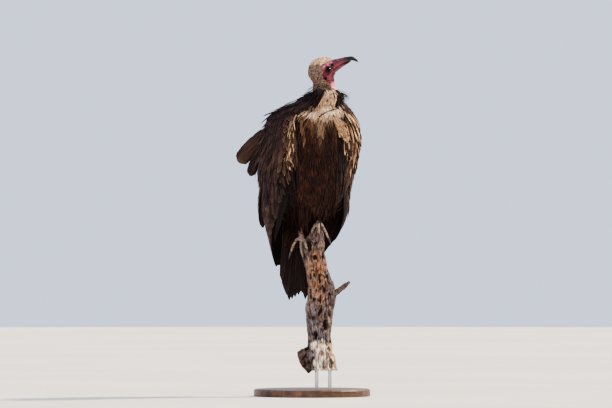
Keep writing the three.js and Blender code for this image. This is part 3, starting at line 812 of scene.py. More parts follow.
# %% Feather patterns
def pattern(name, columns, rows, outline, thickness):
    """One flat feather: across is -1 to 1, along is 0 at its root to 1 at its tip. Gives corners, faces."""
    bpy.ops.mesh.primitive_grid_add(x_subdivisions=columns, y_subdivisions=rows, size=2)
    piece = bpy.context.object
    along = np.round((corners(piece)[:, 1] + 1) / 2 * rows).astype(int)
    widths = np.array([float(outline(row / rows)[0]) for row in range(rows + 1)])
    bpy.ops.object.mode_set(mode="EDIT")
    for row, width in enumerate(widths):
        bpy.ops.mesh.select_mode(type="VERT")
        bpy.ops.mesh.select_all(action="DESELECT")
        bpy.ops.object.mode_set(mode="OBJECT")
        for index in np.flatnonzero(along == row):
            piece.data.vertices[int(index)].select = True
        bpy.ops.object.mode_set(mode="EDIT")
        bpy.ops.transform.resize(value=(width, 1, 1))
    bpy.ops.object.mode_set(mode="OBJECT")
    middle = piece.vertex_groups.new(name="middle")
    flat = corners(piece)
    widest = np.array([np.abs(flat[along == row, 0]).max() for row in along])
    thick = np.sqrt(np.clip(1 - (flat[:, 0] / np.maximum(widest, 1e-6)) ** 2, 0, 1))
    thick[(along == 0) | (along == rows)] = 0
    for index, weight in enumerate(thick):
        middle.add([index], float(weight), "REPLACE")
    finish_modifier(piece, "SOLIDIFY", thickness=thickness, offset=0, vertex_group="middle",
                    thickness_vertex_group=0, use_even_offset=False)
    weld(piece, 1e-4)
    shape = corners(piece)
    faces = [list(face.vertices) for face in piece.data.polygons]
    bpy.data.objects.remove(piece)
    print("pattern", name, "has", sum(len(face) - 2 for face in faces), "triangles")
    return {"rows": rows, "across": shape[:, 0], "along": (shape[:, 1] + 1) / 2, "height": shape[:, 2],
            "faces": faces, "outline": widths}


ROUND = profile([[0, 0.22], [0.12, 0.6], [0.35, 0.92], [0.65, 1], [0.85, 0.88], [0.95, 0.6], [1, 0.2]])
LANCE = profile([[0, 0.25], [0.15, 0.75], [0.4, 1], [0.7, 0.72], [0.9, 0.3], [1, 0.03]])
STREAK = profile([[0, 0.3], [0.15, 0.75], [0.4, 1], [0.75, 0.82], [0.92, 0.45], [1, 0.05]])
SWORD = profile([[0, 0.3], [0.1, 0.8], [0.3, 1], [0.85, 1], [0.95, 0.8], [1, 0.25]])
WORN = profile([[0, 0.3], [0.1, 0.8], [0.3, 1], [0.86, 1], [0.94, 0.72], [1, 0.06]])
# Each kind: columns, rows, outline, and thickness as a share of the half-width.
KINDS = {
    "body": (2, 6, LANCE, 0.16),
    "covert": (4, 7, ROUND, 0.07),
    "streak": (4, 7, STREAK, 0.09),
    "flight": (6, 16, SWORD, 0.06),
    "worn": (6, 16, WORN, 0.06),
    "spike": (2, 5, LANCE, 0.3),
    "down": (2, 3, LANCE, 0.5),
}
PATTERNS = {kind: pattern(kind, *sizes) for kind, sizes in KINDS.items()}

# %% Copying a pattern along paths
def smooth_steps(values, places):
    """Values (N, K, ...) at even steps, read at places from 0 to 1."""
    steps = values.shape[1] - 1
    where = np.clip(places * steps, 0, steps)
    low = np.minimum(where.astype(int), steps - 1)
    share = (where - low).reshape((1, -1) + (1,) * (values.ndim - 2))
    return values[:, low] * (1 - share) + values[:, low + 1] * share


def lay(name, kind, paths, outward, half_width, ground, border, strength, roots, seed,
        fray=0.12, camber=0.25, twist=0.15, patch=(0.003, 0.003)):
    """Copies one pattern along each path (N, K, 3), its face turned outward (N, K, 3), as one joined mesh.
    ground, border and strength colour each copy. roots are its places on the unwrap of the skin, and patch
    is its own patch's size there. fray, camber and twist are its roughness, arch and turn by chance."""
    chance = default_rng(seed)
    form, count = PATTERNS[kind], len(paths)
    across, along = form["across"], form["along"]
    middle = smooth_steps(paths, along)
    ahead = unit(smooth_steps(np.gradient(paths, axis=1), along))
    face = smooth_steps(outward, along)
    side = unit(np.cross(ahead, face))
    face = np.cross(side, ahead)
    turned = chance.normal(0, twist, (count, 1, 1)) * (0.3 + 0.7 * along[None, :, None])
    side, face = side * np.cos(turned) + face * np.sin(turned), face * np.cos(turned) - side * np.sin(turned)
    row = np.round(along * form["rows"]).astype(int)
    edge = (across > 0).astype(int)
    rough = 1 - fray * chance.random((count, form["rows"] + 1, 2)) ** 1.5
    widest = np.maximum(form["outline"][row], 1e-3)
    reach = across[None, :] * rough[:, row, edge] * half_width[:, None]
    # The vane is highest along its shaft and slopes to both edges.
    slope = camber * (1 - (across / widest) ** 2) * widest
    rise = (form["height"] + slope)[None, :] * half_width[:, None]
    points = middle + side * reach[..., None] + face * rise[..., None]

    sizes = np.array([len(f) for f in form["faces"]])
    flat = np.concatenate([np.array(f) for f in form["faces"]])
    corner_list = (flat[None, :] + (np.arange(count) * len(across))[:, None]).ravel()
    starts = np.concatenate([[0], np.cumsum(np.tile(sizes, count))[:-1]])
    mesh = bpy.data.meshes.new(name)
    mesh.vertices.add(count * len(across))
    mesh.vertices.foreach_set("co", points.astype(np.float32).ravel())
    mesh.loops.add(len(corner_list))
    mesh.loops.foreach_set("vertex_index", corner_list.astype(np.int32))
    mesh.polygons.add(len(starts))
    mesh.polygons.foreach_set("loop_start", starts.astype(np.int32))
    mesh.update(calc_edges=True)
    mesh.shade_smooth()
    vane_map = np.stack([0.5 + 0.5 * across / widest, along], -1)
    own = np.tile(vane_map, (count, 1))[corner_list]
    mesh.uv_layers.new(name="vane").data.foreach_set("uv", own.astype(np.float32).ravel())
    baked = (roots[:, None, :] + (vane_map[None] - [0.5, 0]) * np.array(patch)).reshape(-1, 2)[corner_list]
    mesh.uv_layers.new(name="OFBake").data.foreach_set("uv", baked.astype(np.float32).ravel())
    each = np.concatenate([ground, np.broadcast_to(strength, (count,))[:, None]], 1)
    for label, values in (("ground", each), ("border", np.concatenate([border, np.ones((count, 1))], 1))):
        layer = mesh.color_attributes.new(name=label, type="FLOAT_COLOR", domain="POINT")
        layer.data.foreach_set("color", np.repeat(values, len(across), 0).astype(np.float32).ravel())
    lot = mesh.attributes.new(name="lot", type="FLOAT", domain="POINT")
    lot.data.foreach_set("value", np.repeat(chance.random(count), len(across)).astype(np.float32))
    piece = bpy.data.objects.new(name, mesh)
    bpy.context.scene.collection.objects.link(piece)
    print(name, "feathers:", count, "triangles:", int((sizes - 2).sum()) * count)
    return piece


# %% [markdown]
# ## Feather finish
# Real vanes are streaked lengthwise, paler along the edge and lighter on the shaft, and their barbs make
# fine slanting lines. The material reads the colours stored on each feather and a map that runs across and
# along the vane, so the pattern follows every feather wherever it bends.


# %% Materials for feathers
class Nodes:
    """A short way to write a material's node tree."""

    def __init__(self, name, rough=0.5, **sockets):
        self.material = bpy.data.materials.new(name)
        self.material.use_nodes = True
        self.tree = self.material.node_tree
        self.shader = self.tree.nodes["Principled BSDF"]
        self.shader.inputs["Roughness"].default_value = rough
        for socket, value in sockets.items():
            self.shader.inputs[socket.replace("_", " ")].default_value = value

    def add(self, kind, inputs=(), **settings):
        node = self.tree.nodes.new("ShaderNode" + kind)
        for name, value in settings.items():
            setattr(node, name, value)
        for key, value in dict(inputs).items():
            self.put(node.inputs[key], value)
        return node

    def put(self, socket, value):
        if isinstance(value, bpy.types.NodeSocket):
            self.tree.links.new(value, socket)
        elif isinstance(value, np.ndarray):
            socket.default_value = (*[float(v) for v in value], 1.0)
        else:
            socket.default_value = value

    def sum(self, operation, *values):
        node = self.add("Math", operation=operation)
        for socket, value in zip(node.inputs, values):
            self.put(socket, value)
        return node.outputs[0]

    def blend(self, share, a, b, how="MIX"):
        node = self.add("Mix", data_type="RGBA", blend_type=how)
        self.put(node.inputs["Factor"], share)
        self.put(node.inputs[6], a)
        self.put(node.inputs[7], b)
        return node.outputs[2]

    def fade(self, value, low, high, start=0.0, end=1.0):
        limits = {"Value": value, 1: low, 2: high, 3: start, 4: end}
        return self.add("MapRange", limits, interpolation_type="SMOOTHSTEP").outputs[0]

    def vector(self, x, y, z=0.0):
        return self.add("CombineXYZ", {0: x, 1: y, 2: z}).outputs[0]

    def noise(self, scale, detail=3.0, stretch=(1, 1, 1), rough=0.5, place=None):
        """Cloudy noise, on the object's own coordinates unless a place is given."""
        if place is None:
            place = self.add("TexCoord").outputs["Object"]
        mapped = self.add("Mapping", {"Vector": place, "Scale": stretch})
        settings = {"Vector": mapped.outputs[0], "Scale": scale, "Detail": detail, "Roughness": rough}
        return self.add("TexNoise", settings).outputs[0]

    def shade(self, colour, light):
        """A colour made lighter or darker by a number."""
        grey = self.add("CombineColor", {0: light, 1: light, 2: light}).outputs[0]
        return self.blend(1.0, colour, grey, "MULTIPLY")

    def tint(self):
        """The colour stored on the piece's own points."""
        return self.add("Attribute", attribute_name="tint").outputs["Color"]

    def bumps(self, height, distance, strength=1.0):
        return self.add("Bump", {"Height": height, "Distance": distance, "Strength": strength}).outputs[0]

    def finish(self, colour=None, normal=None, rough=None):
        for socket, value in (("Base Color", colour), ("Normal", normal), ("Roughness", rough)):
            if value is not None:
                self.put(self.shader.inputs[socket], value)
        return self.material


def feather_finish(name, rough, streaks, shaft, fringe):
    """A vane's material. streaks and shaft are how strongly they show, and fringe is the pale edge's width
    as a share of the half-width."""
    made = Nodes(name, rough, Specular_IOR_Level=0.14)
    vane = made.add("UVMap", uv_map="vane").outputs[0]
    parts = made.add("SeparateXYZ", {0: vane})
    across = made.sum("ABSOLUTE", made.sum("MULTIPLY_ADD", parts.outputs[0], 2.0, -1.0))
    along = parts.outputs[1]
    ground = made.add("Attribute", attribute_name="ground")
    border = made.add("Attribute", attribute_name="border")
    lot = made.add("Attribute", attribute_name="lot").outputs["Fac"]
    own_place = made.vector(parts.outputs[0], along, made.sum("MULTIPLY", lot, 37.0))
    grain = made.noise(5.0, 4.0, (3.0, 0.55, 1.0), 0.6, own_place)
    edge = made.fade(across, 1.0 - fringe, 1.0)
    tip = made.fade(along, 0.86, 1.0, 0.0, 0.6)
    far = made.sum("MULTIPLY", made.sum("MAXIMUM", edge, tip), made.fade(along, 0.15, 0.55))
    ragged = made.fade(made.sum("MULTIPLY_ADD", grain, 0.9, far), 0.62, 1.15)
    share = made.sum("MULTIPLY", ragged, ground.outputs["Alpha"])
    colour = made.blend(share, ground.outputs["Color"], border.outputs["Color"])
    light = made.fade(grain, 0.3, 0.72, 1.0 - streaks, 1.0 + streaks)
    light = made.sum("MULTIPLY", light, made.fade(lot, 0.0, 1.0, 0.8, 1.22))
    # A vane darkens towards its root: painted shade where the feathers over it cover it.
    light = made.sum("MULTIPLY", light, made.fade(along, 0.0, 0.4, 0.55, 1.0))
    colour = made.shade(colour, light)
    core = made.fade(across, 0.1, 0.03)
    colour = made.blend(made.sum("MULTIPLY", core, shaft), colour, border.outputs["Color"])
    slant = made.sum("MULTIPLY_ADD", along, 260.0, made.sum("MULTIPLY", across, -60.0))
    barbs = made.sum("SINE", slant)
    relief = made.sum("MULTIPLY_ADD", grain, 2.0, made.sum("MULTIPLY", barbs, 0.25))
    return made.finish(colour, made.bumps(relief, 0.0006, 0.6))


FEATHER = feather_finish("body_feathers", 0.8, 0.35, 0.25, 0.4)
COVERTS = feather_finish("covert_feathers", 0.75, 0.3, 0.35, 0.42)
VANES = feather_finish("flight_vanes", 0.66, 0.5, 0.3, 0.2)
DOWN = feather_finish("woolly_down", 0.9, 0.3, 0.0, 0.3)
print("feather materials:", [look.name for look in (FEATHER, COVERTS, VANES, DOWN)])


def body_unwrap(s, turn):
    """Where a root lies on an unwrap of the whole body, 0 to 1 round it and up it."""
    return np.stack([0.5 + turn / 6.4, (s + 135) / 330], -1)


def wing_unwrap(s, turn, low=-70):
    """The same for one wing, from the breast's middle line to the back's, upwards from low."""
    return np.stack([np.abs(turn) / 3.3 + 0.02, (s - low) / 270], -1)


def dress(piece, material, slot, *nodes):
    """Gives a finished piece its material, attaches it to the body's root and hides the solids it stands for.
    """
    piece.data.materials.clear()
    piece.data.materials.append(material)
    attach(piece, "root")
    if nodes:
        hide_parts(*nodes)
    return piece


# %% [markdown]
# ## Breast and belly
# The feathers under the body are small, loose and narrow, so they read as fine streaks. They are rooted in
# staggered rows from the top down, which lets each row cover the roots of the one below, as tiles do.


# %% Rows of body feathers
def rows_over(low, high, pitch, from_turn, to_turn, spacing, radius, chance):
    """Staggered places over the body: how far up the spine and the turn round it. Rows are pitch apart, from
    one turn to another that depend on the height, and roots are spacing apart at the radius."""
    found = []
    for number, s in enumerate(np.arange(high, low, -pitch)):
        first, last = from_turn(s), to_turn(s)
        count = max(1, int((last - first) * radius / spacing))
        turns = first + (np.arange(count) + 0.5 * (number % 2) + 0.25) * (last - first) / count
        found.append(np.stack([np.full(count, s), turns], -1))
    places = np.concatenate(found)
    places[:, 0] += chance.normal(0, pitch * 0.25, len(places))
    places[:, 1] += chance.normal(0, 0.22, len(places)) * spacing / radius
    return places[:, 0], places[:, 1]


def paths_down(surface, s, turn, length, drift, root_lift, tip_lift, steps=6):
    """Paths that run down the body from each root, drifting sideways, as points and outward directions."""
    share = np.linspace(0, 1, steps + 1)[None, :]
    around = (surface(s, turn + 0.01) - surface(s, turn - 0.01)) / 0.02
    reach = np.maximum(np.linalg.norm(around, axis=-1), 0.02) / MM
    run_s = s[:, None] - length[:, None] * share * np.cos(drift)[:, None]
    run_turn = turn[:, None] + (length * np.sin(drift) / reach)[:, None] * share
    lift = root_lift + (tip_lift[:, None] - root_lift) * share**1.3
    return surface(run_s, run_turn, lift), facing(surface, run_s, run_turn)


def loose_paths(surface, s, turn, lengths, drift, spread, root_lift, tips, chance):
    """Paths of loose feathers: lengths and tip lifts lie between two limits, and drift varies by spread."""
    length = chance.uniform(*lengths, len(s))
    drift = drift + chance.normal(0, spread, len(s))
    return paths_down(surface, s, turn, length, drift, root_lift, chance.uniform(*tips, len(s)))


def breast_edge(s):
    """How far round the breast feathers reach: under the wings' edges, and right round below them."""
    under_wing = np.radians(WING_REACH(s)[0] + 16)
    all_round = np.radians(90 + 90 * wedge(s, -60, -100)) * (s < -60)
    return float(np.maximum(under_wing, all_round))


chance = default_rng(11)
s, turn = rows_over(-128, 172, 5.2, lambda s: -breast_edge(s), breast_edge, 5.6, 100, chance)
roots = breast(s, turn)
colour = breast_colour(roots)
# On the crop the feathers are short, broad and smooth.
crop = bump(np.hypot(across_view(roots)[0] / MM - 38, roots[:, 2] / MM - 752) / 30, 1)
length = (34 - 16 * crop - 8 * wedge(s, 60, 140)) * chance.uniform(0.8, 1.25, len(s))
drift = chance.normal(0, 0.12, len(s)) * (1 - 0.7 * crop)
tip_lift = chance.uniform(-2.2, 1.4, len(s)) * (1 - 0.8 * crop)
paths, outward = paths_down(breast, s, turn, length, drift, -BODY_COAT, tip_lift)
half = 3.6 + 0.8 * chance.random(len(s)) + 1.2 * crop
border = mix(mix(colour * 1.5, TAN, 0.18), colour, crop)
dress(lay("coat_breast", "body", paths, outward, half * MM, colour, border, 0.5,
          body_unwrap(s, turn), 12, twist=0.15 * (1 - 0.8 * crop)[:, None, None]), FEATHER, "plumage")

# %% [markdown]
# ## Coverts and mantle
# Over the folded wings and the back the feathers are broader and rounder, each with a paler edge. They grow
# longer down the wing. The surface they follow closes over the gap between the wings and the back.


# %% Covert rows
def covert_length(s):
    """Short at the shoulder, long down the wing."""
    return 27 + 34 * wedge(s, 150, 20) + 26 * wedge(s, 30, -60)


def covert_edge(s, side):
    """Where the coverts start in front, in radians: further back low down, where dark vanes hang free."""
    start = 1 if side > 0 else 1 + 6 * wedge(s, 0, 40)
    return float(np.radians(WING_REACH(s)[0] + start + 13 * wedge(s, 30, -50)))


# Each kind: lowest and highest row, pitch of the rows, spacing in a row and the radius it is measured at.
COVERT_ROWS = {"covert": (84, 176, 8.5, 8.5, 100), "streak": (-58, 84, 11, 7.2, 118)}
for name, side in SIDES.items():
    chance = default_rng(21 + side)
    rows = {kind: rows_over(low, high, pitch, lambda s: covert_edge(s, side), lambda s: math.pi,
                            spacing, radius, chance)
            for kind, (low, high, pitch, spacing, radius) in COVERT_ROWS.items()}
    pieces = []
    for number, (kind, (s, turn)) in enumerate(rows.items()):
        turn = turn * side
        length = covert_length(s) * chance.uniform(0.8, 1.2, len(s))
        if kind == "covert":
            half = length * chance.uniform(0.14, 0.18, len(s))
        else:
            half = chance.uniform(4.2, 6.2, len(s))
        ground, border, strength = wing_colour(s, turn, cloak(s, turn))
        ground = ground * chance.uniform(0.4, 1.6, (len(s), 1))
        drift, tips = chance.normal(0.0, 0.06, len(s)), chance.uniform(-0.5, 3.4, len(s))
        tips = tips + (10 - 3 * side) * (chance.random(len(s)) > 0.83) * (np.abs(turn) > 1.4)
        paths, outward = paths_down(cloak, s, turn, length, drift, -5.0, tips)
        pieces.append(lay(f"coverts_{name}_{kind}", kind, paths, outward, half * MM, ground, border, strength,
                          wing_unwrap(s, turn), 23 + side + number, fray=0.25))
    dress(join(f"coverts_{name}", pieces), COVERTS, "plumage")

# %% [markdown]
# ## Skin colour
# The skin carries the same markings, painted shade and painted sunlight as the coat over it, so that a gap
# between feathers never shows a strange colour. The colour is stored on the skin's own points, and the
# material adds fine pores and creases.


# %% Skin colour and finish
SCUTE, SCUTE_DARK = paint(136, 116, 102), paint(66, 52, 46)


def store_tint(piece, values):
    """Stores one colour for each of a piece's points."""
    layer = piece.data.color_attributes.new(name="tint", type="FLOAT_COLOR", domain="POINT")
    opaque = np.column_stack([values, np.ones(len(values))])
    layer.data.foreach_set("color", opaque.astype(np.float32).ravel())


def body_turn(points):
    """How far up the spine and the turn round the body of points near its surface."""
    x, y, s = to_body(points)
    front, back, _ = TRUNK(s)
    return s, np.arctan2(x, (front + back) / 2 - y)


def hood_foot(points):
    """How high the hood's down starts: lower on the head's side of the neck."""
    return 0.770 + 0.015 * wedge(across_view(points)[0], 0.030, 0.010)


def skin_colour(points):
    """The coat's colours under the coat, painted shade and sunlight included, and grimy scutes on the feet.
    """
    s, turn = body_turn(points)
    foot = hood_foot(points)
    found = mix(breast_colour(points), wing_colour(s, turn, points)[0], wing_share(s, turn))
    found = mix(found, head_colour(points), wedge(points[:, 2] - foot, 0, 0.010))
    grime = speckle(points, 0.004, 31)
    return mix(found, mix(SCUTE, SCUTE_DARK, wedge(grime, 0.0, 0.5)), on_feet(points))


store_tint(skin, skin_colour(corners(skin)))
made = Nodes("face_skin", 0.5, Specular_IOR_Level=0.3)
blotch = made.noise(260.0, 4.0)
creases = made.noise(750.0, 5.0, (1, 1, 2.2), 0.65)
tone = made.shade(made.tint(), made.fade(blotch, 0.3, 0.7, 0.78, 1.2))
BARE_SKIN = made.finish(tone, made.bumps(creases, 0.0009, 0.8), made.fade(creases, 0.3, 0.7, 0.62, 0.4))
skin.data.materials.clear()
skin.data.materials.append(BARE_SKIN)
skin_faces = [list(f.vertices) for f in skin.data.polygons]
SKIN_TREE = BVHTree.FromPolygons([Vector(p) for p in corners(skin)], skin_faces)
print("skin painted, points:", len(skin.data.vertices))

# %% [markdown]
# ## Flight feathers
# The long feathers of a folded wing hang side by side and overlap like the slats of a blind. Three tiers
# are laid, the longest first, each higher one covering the roots of the one below. Every vane is tilted a
# few degrees about its shaft, so that its inner edge slips under its neighbour.

# %% Folded wings
# Each tier: number of vanes, how far its tips stand above the lowest ones, length, lift of root and tip.
TIERS = [(17, 0, 250, -5.6, -2.6), (16, 48, 190, -5.4, -1.4), (16, 96, 150, -5.2, -0.4)]
SLAT_TILT = math.radians(7)
VANE_SPAN = 165.6  # half-widths of the vanes of one tier, added up
# Four short vanes in front of the folded edge: the share of the way round to them, and their tips.
INNER_SHARES = -np.array([0.5, 2.5, 4.5, 6.5]) / 110
INNER_TIPS = np.array([-200.0, -188, -180, -164])


def wing_path(side, share, low, high, root_lift, tip_lift):
    """Paths down the wing at a constant share of the way from its front to its back edge."""
    down = np.linspace(0, 1, 15)[None, :]
    s = high[:, None] + (low - high)[:, None] * down
    front, back = WING_REACH(s)
    turn = np.radians(front + (back - front) * share[:, None]) * side
    lift = root_lift + (tip_lift - root_lift) * down**2

    def outer_face(at):
        flat = wing_place(s, at, lift)
        return from_body(flat[..., 0], flat[..., 1], s)

    points = outer_face(turn)
    around = unit(outer_face(turn + 0.01) - outer_face(turn - 0.01))
    return points, unit(np.cross(around, -np.gradient(points, axis=1)))


for name, side in SIDES.items():
    chance = default_rng(41 + side)
    tilt = SLAT_TILT * side
    pieces = []
    for tier, (count, raised, long, root_lift, tip_lift) in enumerate(TIERS):
        share = (np.arange(count) + 0.5) / count
        _, tip = WING_EDGES(share)
        ragged = chance.normal(0, 5.0, count) * (tier > 0)
        tip = tip + raised + ragged - 24 * wedge(share, 0.62, 0.95) * (tier == 0)
        high = np.minimum(tip + long * chance.uniform(0.92, 1.08, count), 20)
        paths, outward = wing_path(side, share, tip, high, root_lift, tip_lift)
        run = unit(np.gradient(paths, axis=1))
        outward = outward * math.cos(tilt) + np.cross(run, outward) * math.sin(tilt)
        half = VANE_SPAN / count * chance.uniform(0.92, 1.05, count)
        ground = mix(QUILL, COVERT * 0.8, 0.25 + 0.5 * chance.random(count) * (tier + 1) / 3)
        border = mix(COVERT * 1.4, TAN, np.full(count, 0.1 + 0.1 * tier))
        roots = np.stack([0.02 + 0.8832 * share, np.full(count, 0.02 + 0.325 * tier)], -1)
        pieces.append(lay(f"flight_{name}_{tier}", "flight", paths, outward, half * MM, ground, border,
                          0.35 + 0.15 * tier, roots, 50 + tier + side, fray=0.16, camber=0.14, twist=0.03,
                          patch=(0.86 / count, 0.3)))
    paths, outward = wing_path(side, INNER_SHARES, INNER_TIPS, np.full(4, -5.0), -4.0, -4.0)
    roots = np.stack([0.925 + 0.02 * np.arange(4), np.full(4, 0.66)], -1)
    pieces.append(lay(f"flight_{name}_inner", "flight", paths, outward, np.full(4, 4.2 * MM),
                      np.tile(QUILL * 0.45, (4, 1)), np.tile(BELLY, (4, 1)), 0.4, roots, 60 + side,
                      fray=0.3, camber=0.3, patch=(0.015, 0.3)))
    dress(join(f"flight_{name}", pieces), VANES, "flight_feathers", f"wing_{name}")

# %% [markdown]
# ### Lifted feathers
# A breeze has lifted three feathers from the right wing. Each follows one smooth curve from its root to its
# tip, with its broad face to the light.

# %% Lifted feathers
# Root, bend and tip, half-width (mm), the way the face looks, and the colour.
LIFTED = [
    ([[-88, 46, 684], [-122, 86, 654], [-149, 119, 601]], 21, [-0.5, -0.8, 0.2], paint(54, 37, 31)),
    ([[-98, 44, 646], [-124, 78, 626], [-129, 92, 566]], 14, [-0.5, -0.8, 0.1], paint(32, 23, 22)),
    ([[-104, 42, 566], [-124, 66, 500], [-104, 72, 433]], 8, [-0.6, -0.8, 0], paint(24, 17, 17)),
]
loose = []
t = np.linspace(0, 1, 17)[:, None]
for number, (stops, half, look, tone) in enumerate(LIFTED):
    root, bend, tip = np.array(stops, float) * MM
    path = root * (1 - t) ** 2 + bend * 2 * t * (1 - t) + tip * t**2
    outward = np.broadcast_to(unit(np.array(look, float)), path.shape)
    border, place = mix(tone * 1.5, TAN, 0.15), np.array([[0.1 + 0.3 * number, 0.1]])
    loose.append(lay(f"lifted_{number}", "flight", path[None], outward[None], np.array([half * MM]),
                     tone[None], border[None], 0.6, place, 70 + number, fray=0.1, camber=0.16, twist=0.0,
                     patch=(0.12, 0.8)))
dress(join("lifted_feathers", loose), VANES, "flight_feathers", "wing_right")

# %% [markdown]
# ## Tail
# Twelve stiff feathers hang below the wings. The middle pair is the longest and lies on top, and each outer
# one lies under its neighbour. Their tips are worn and ragged. Softer feathers cover their roots on both
# faces.

# %% Tail feathers
TAIL_VANES = 12
TAIL_WEAR = np.array([8, 0, -5, -3, 18, 15, 9, 2, -6, 2, 8, 14])  # what each tip has lost, in mm
TAIL_FAN = 1.13  # how much wider the vanes spread than their solid
FAN_END = 150  # mm down the tail, where they are spread in full


def tail_path(side, down, lift):
    """A place on the tail: side is -1 to 1 across it, down in mm from its root, lift towards the back."""
    half, height = TAIL(down / TAIL_LENGTH)
    return from_body(-side * half, height - TAIL_ARCH * side**2 + lift, TAIL_ROOT - down)


side = (np.arange(TAIL_VANES) * 2 + 1) / TAIL_VANES - 1
length = TAIL_LENGTH - TAIL_ROUND * np.abs(side) ** 2.2 - TAIL_WEAR
down = np.linspace(0, 1, 17)[None, :] * length[:, None]
spread = side[:, None] * (1 + (TAIL_FAN - 1) * np.clip(down / FAN_END, 0, 1))
paths = tail_path(spread, down, 1.6 - 3.2 * np.abs(spread))
outward = unit(np.cross(tail_path(spread - 0.02, down, 0) - tail_path(spread + 0.02, down, 0),
                        tail_path(spread, down + 1, 0) - tail_path(spread, down - 1, 0)))
outward = outward * np.sign(outward[..., 1:2])
tail_tone = np.tile(QUILL * 1.15, (TAIL_VANES, 1))
roots = np.stack([0.02 + 0.432 * (side + 1), np.full(TAIL_VANES, 0.02)], -1)
dress(lay("tail_vanes", "worn", paths, outward, np.full(TAIL_VANES, 13.5 * MM), tail_tone,
          mix(tail_tone, COVERT, 0.8), 0.5, roots, 82, fray=0.2, camber=0.1, twist=0.04, patch=(0.07, 0.9)),
      VANES, "flight_feathers", "tail")


def tail_coverts(name, face, first, rows, tone, edge, seed):
    """Soft feathers over the tail's root, from first mm down it: face is 1 on its back and -1 underneath."""
    chance = default_rng(seed)
    row = np.repeat(np.arange(rows), 9)
    count = len(row)
    side = np.tile(np.linspace(-0.95, 0.95, 9), rows) + 0.1 * (row % 2) + chance.normal(0, 0.05, count)
    start = first + 13.0 * row + chance.normal(0, 3, count)
    down = start[:, None] + np.linspace(0, 1, 9)[None, :] * chance.uniform(55, 75, count)[:, None]
    lift = face * (9.5 - 6.5 * np.clip(down / FAN_END, 0, 1))
    paths = tail_path(np.broadcast_to(side[:, None], down.shape), down, lift)
    outward = np.broadcast_to(np.array([0, face, 0.1]), paths.shape)
    roots = np.stack([0.5 + side * 0.4, 0.05 + (start + 70) / 200], -1)
    piece = lay(name, "covert", paths, outward, np.full(count, 8.5 * MM), np.tile(tone, (count, 1)),
                np.tile(edge, (count, 1)), 0.5, roots, seed, fray=0.3)
    dress(piece, COVERTS, "plumage")


tail_coverts("tail_coverts_over", 1, -52, 11, mix(MANTLE, COVERT, 0.6), TAN, 91)
tail_coverts("tail_coverts_under", -1, 0, 6, BELLY * 0.7, mix(TAN, BELLY, 0.75), 92)

# %% [markdown]
# ## Feathers combed over the skin
# Thighs, neck and hood have no simple formula, so their feathers are combed over the skin itself. Each path
# starts at a random place on the skin and takes small steps along it in the way the coat lies. After each
# step it is drawn back to the nearest place on the skin, as a comb is.


# %% Sowing and combing
def sow(share, spacing, chance):
    """Places spread evenly over the skin, spacing metres apart, where share(points) is above chance."""
    mesh = skin.data
    count = len(mesh.polygons)
    area, middle = np.empty(count, np.float32), np.empty(count * 3, np.float32)
    start, total = np.empty(count, np.int32), np.empty(count, np.int32)
    mesh.polygons.foreach_get("area", area)
    mesh.polygons.foreach_get("center", middle)
    mesh.polygons.foreach_get("loop_start", start)
    mesh.polygons.foreach_get("loop_total", total)
    used = np.empty(len(mesh.loops), np.int32)
    mesh.loops.foreach_get("vertex_index", used)
    middle = middle.reshape(-1, 3).astype(float)
    weight = area * np.clip(share(middle), 0, 1)
    picked = chance.choice(count, int(weight.sum() / spacing**2 * 2.2), p=weight / weight.sum())
    corner = used[start[picked] + (chance.random(len(picked)) * total[picked]).astype(int)]
    points = middle[picked] + (corners(skin)[corner] - middle[picked]) * chance.random((len(picked), 1))
    _, kept = np.unique(np.floor(points / spacing).astype(int), axis=0, return_index=True)
    return points[np.sort(kept)]


def comb(points, flow, length, root_lift, tip_lift, steps=3):
    """Paths over the skin from each point, the way flow(points) runs, lifted from root_lift to tip_lift."""
    places, outward, here = [], [], points
    for step in range(steps + 1):
        near = [SKIN_TREE.find_nearest(Vector(p)) for p in here]
        on, normal = np.array([n[0] for n in near]), np.array([n[1] for n in near])
        lift = root_lift + (tip_lift - root_lift) * (step / steps) ** 1.4
        places.append(on + normal * lift[:, None] * MM)
        outward.append(normal)
        way = flow(on)
        way = unit(way - normal * np.sum(way * normal, 1, keepdims=True))
        here = on + way * (length / steps)[:, None] * MM
    return np.stack(places, 1), np.stack(outward, 1)


def unroll(points, low, high):
    """Places on an unwrap of the skin: round its upright axis and up it, clear of the map's own edges."""
    middle = points[:, :2].mean(0)
    turn = np.arctan2(points[:, 0] - middle[0], points[:, 1] - middle[1])
    return np.stack([0.5 + 0.99 * turn / (2 * math.pi), (points[:, 2] - low) / (high - low)], -1)


# %% Thighs and shanks
def on_thigh(points):
    return wedge(points[:, 2], 0.525, 0.515) * (1 - on_feet(points)) * wedge(points[:, 2], 0.400, 0.410)


def down_leg(points):
    return np.broadcast_to(np.array([0.0, -0.12, -1.0]), points.shape) + np.array(RIGHTWARD) * 0.1


chance = default_rng(101)
roots = sow(on_thigh, 0.0040, chance)
upper = wedge(roots[:, 2], 0.44, 0.49)
length = (21 + 13 * upper) * chance.uniform(0.8, 1.2, len(roots))
tip_lift = chance.uniform(2.0, 5.0, len(roots))
paths, outward = comb(roots, down_leg, length, np.full(len(roots), -0.5), tip_lift, 5)
tone = mix(breast_colour(roots) * 0.9, LOWER_BELLY, wedge(roots[:, 2], 0.470, 0.435))
dress(lay("coat_thighs", "body", paths, outward, (2.2 + 1.6 * upper) * MM, tone,
          mix(tone * 1.4, TAN, 0.3), 0.5, unroll(roots, 0.40, 0.53), 102), FEATHER, "plumage")

# %% [markdown]
# ## Ruff
# Where the bare head ends, a collar of stiff pointed feathers stands out. In front it opens over the soft
# buff crop, and at the sides and behind it is nearly black. Four rows of spikes make it, and a few thin
# wisps stand out further and bend down at their tips.


# %% Ruff spikes
# Up, and where the buff starts across.
BIB_EDGE = profile([[728, 2], [743, 15], [762, 25], [771, 32], [788, 38]])
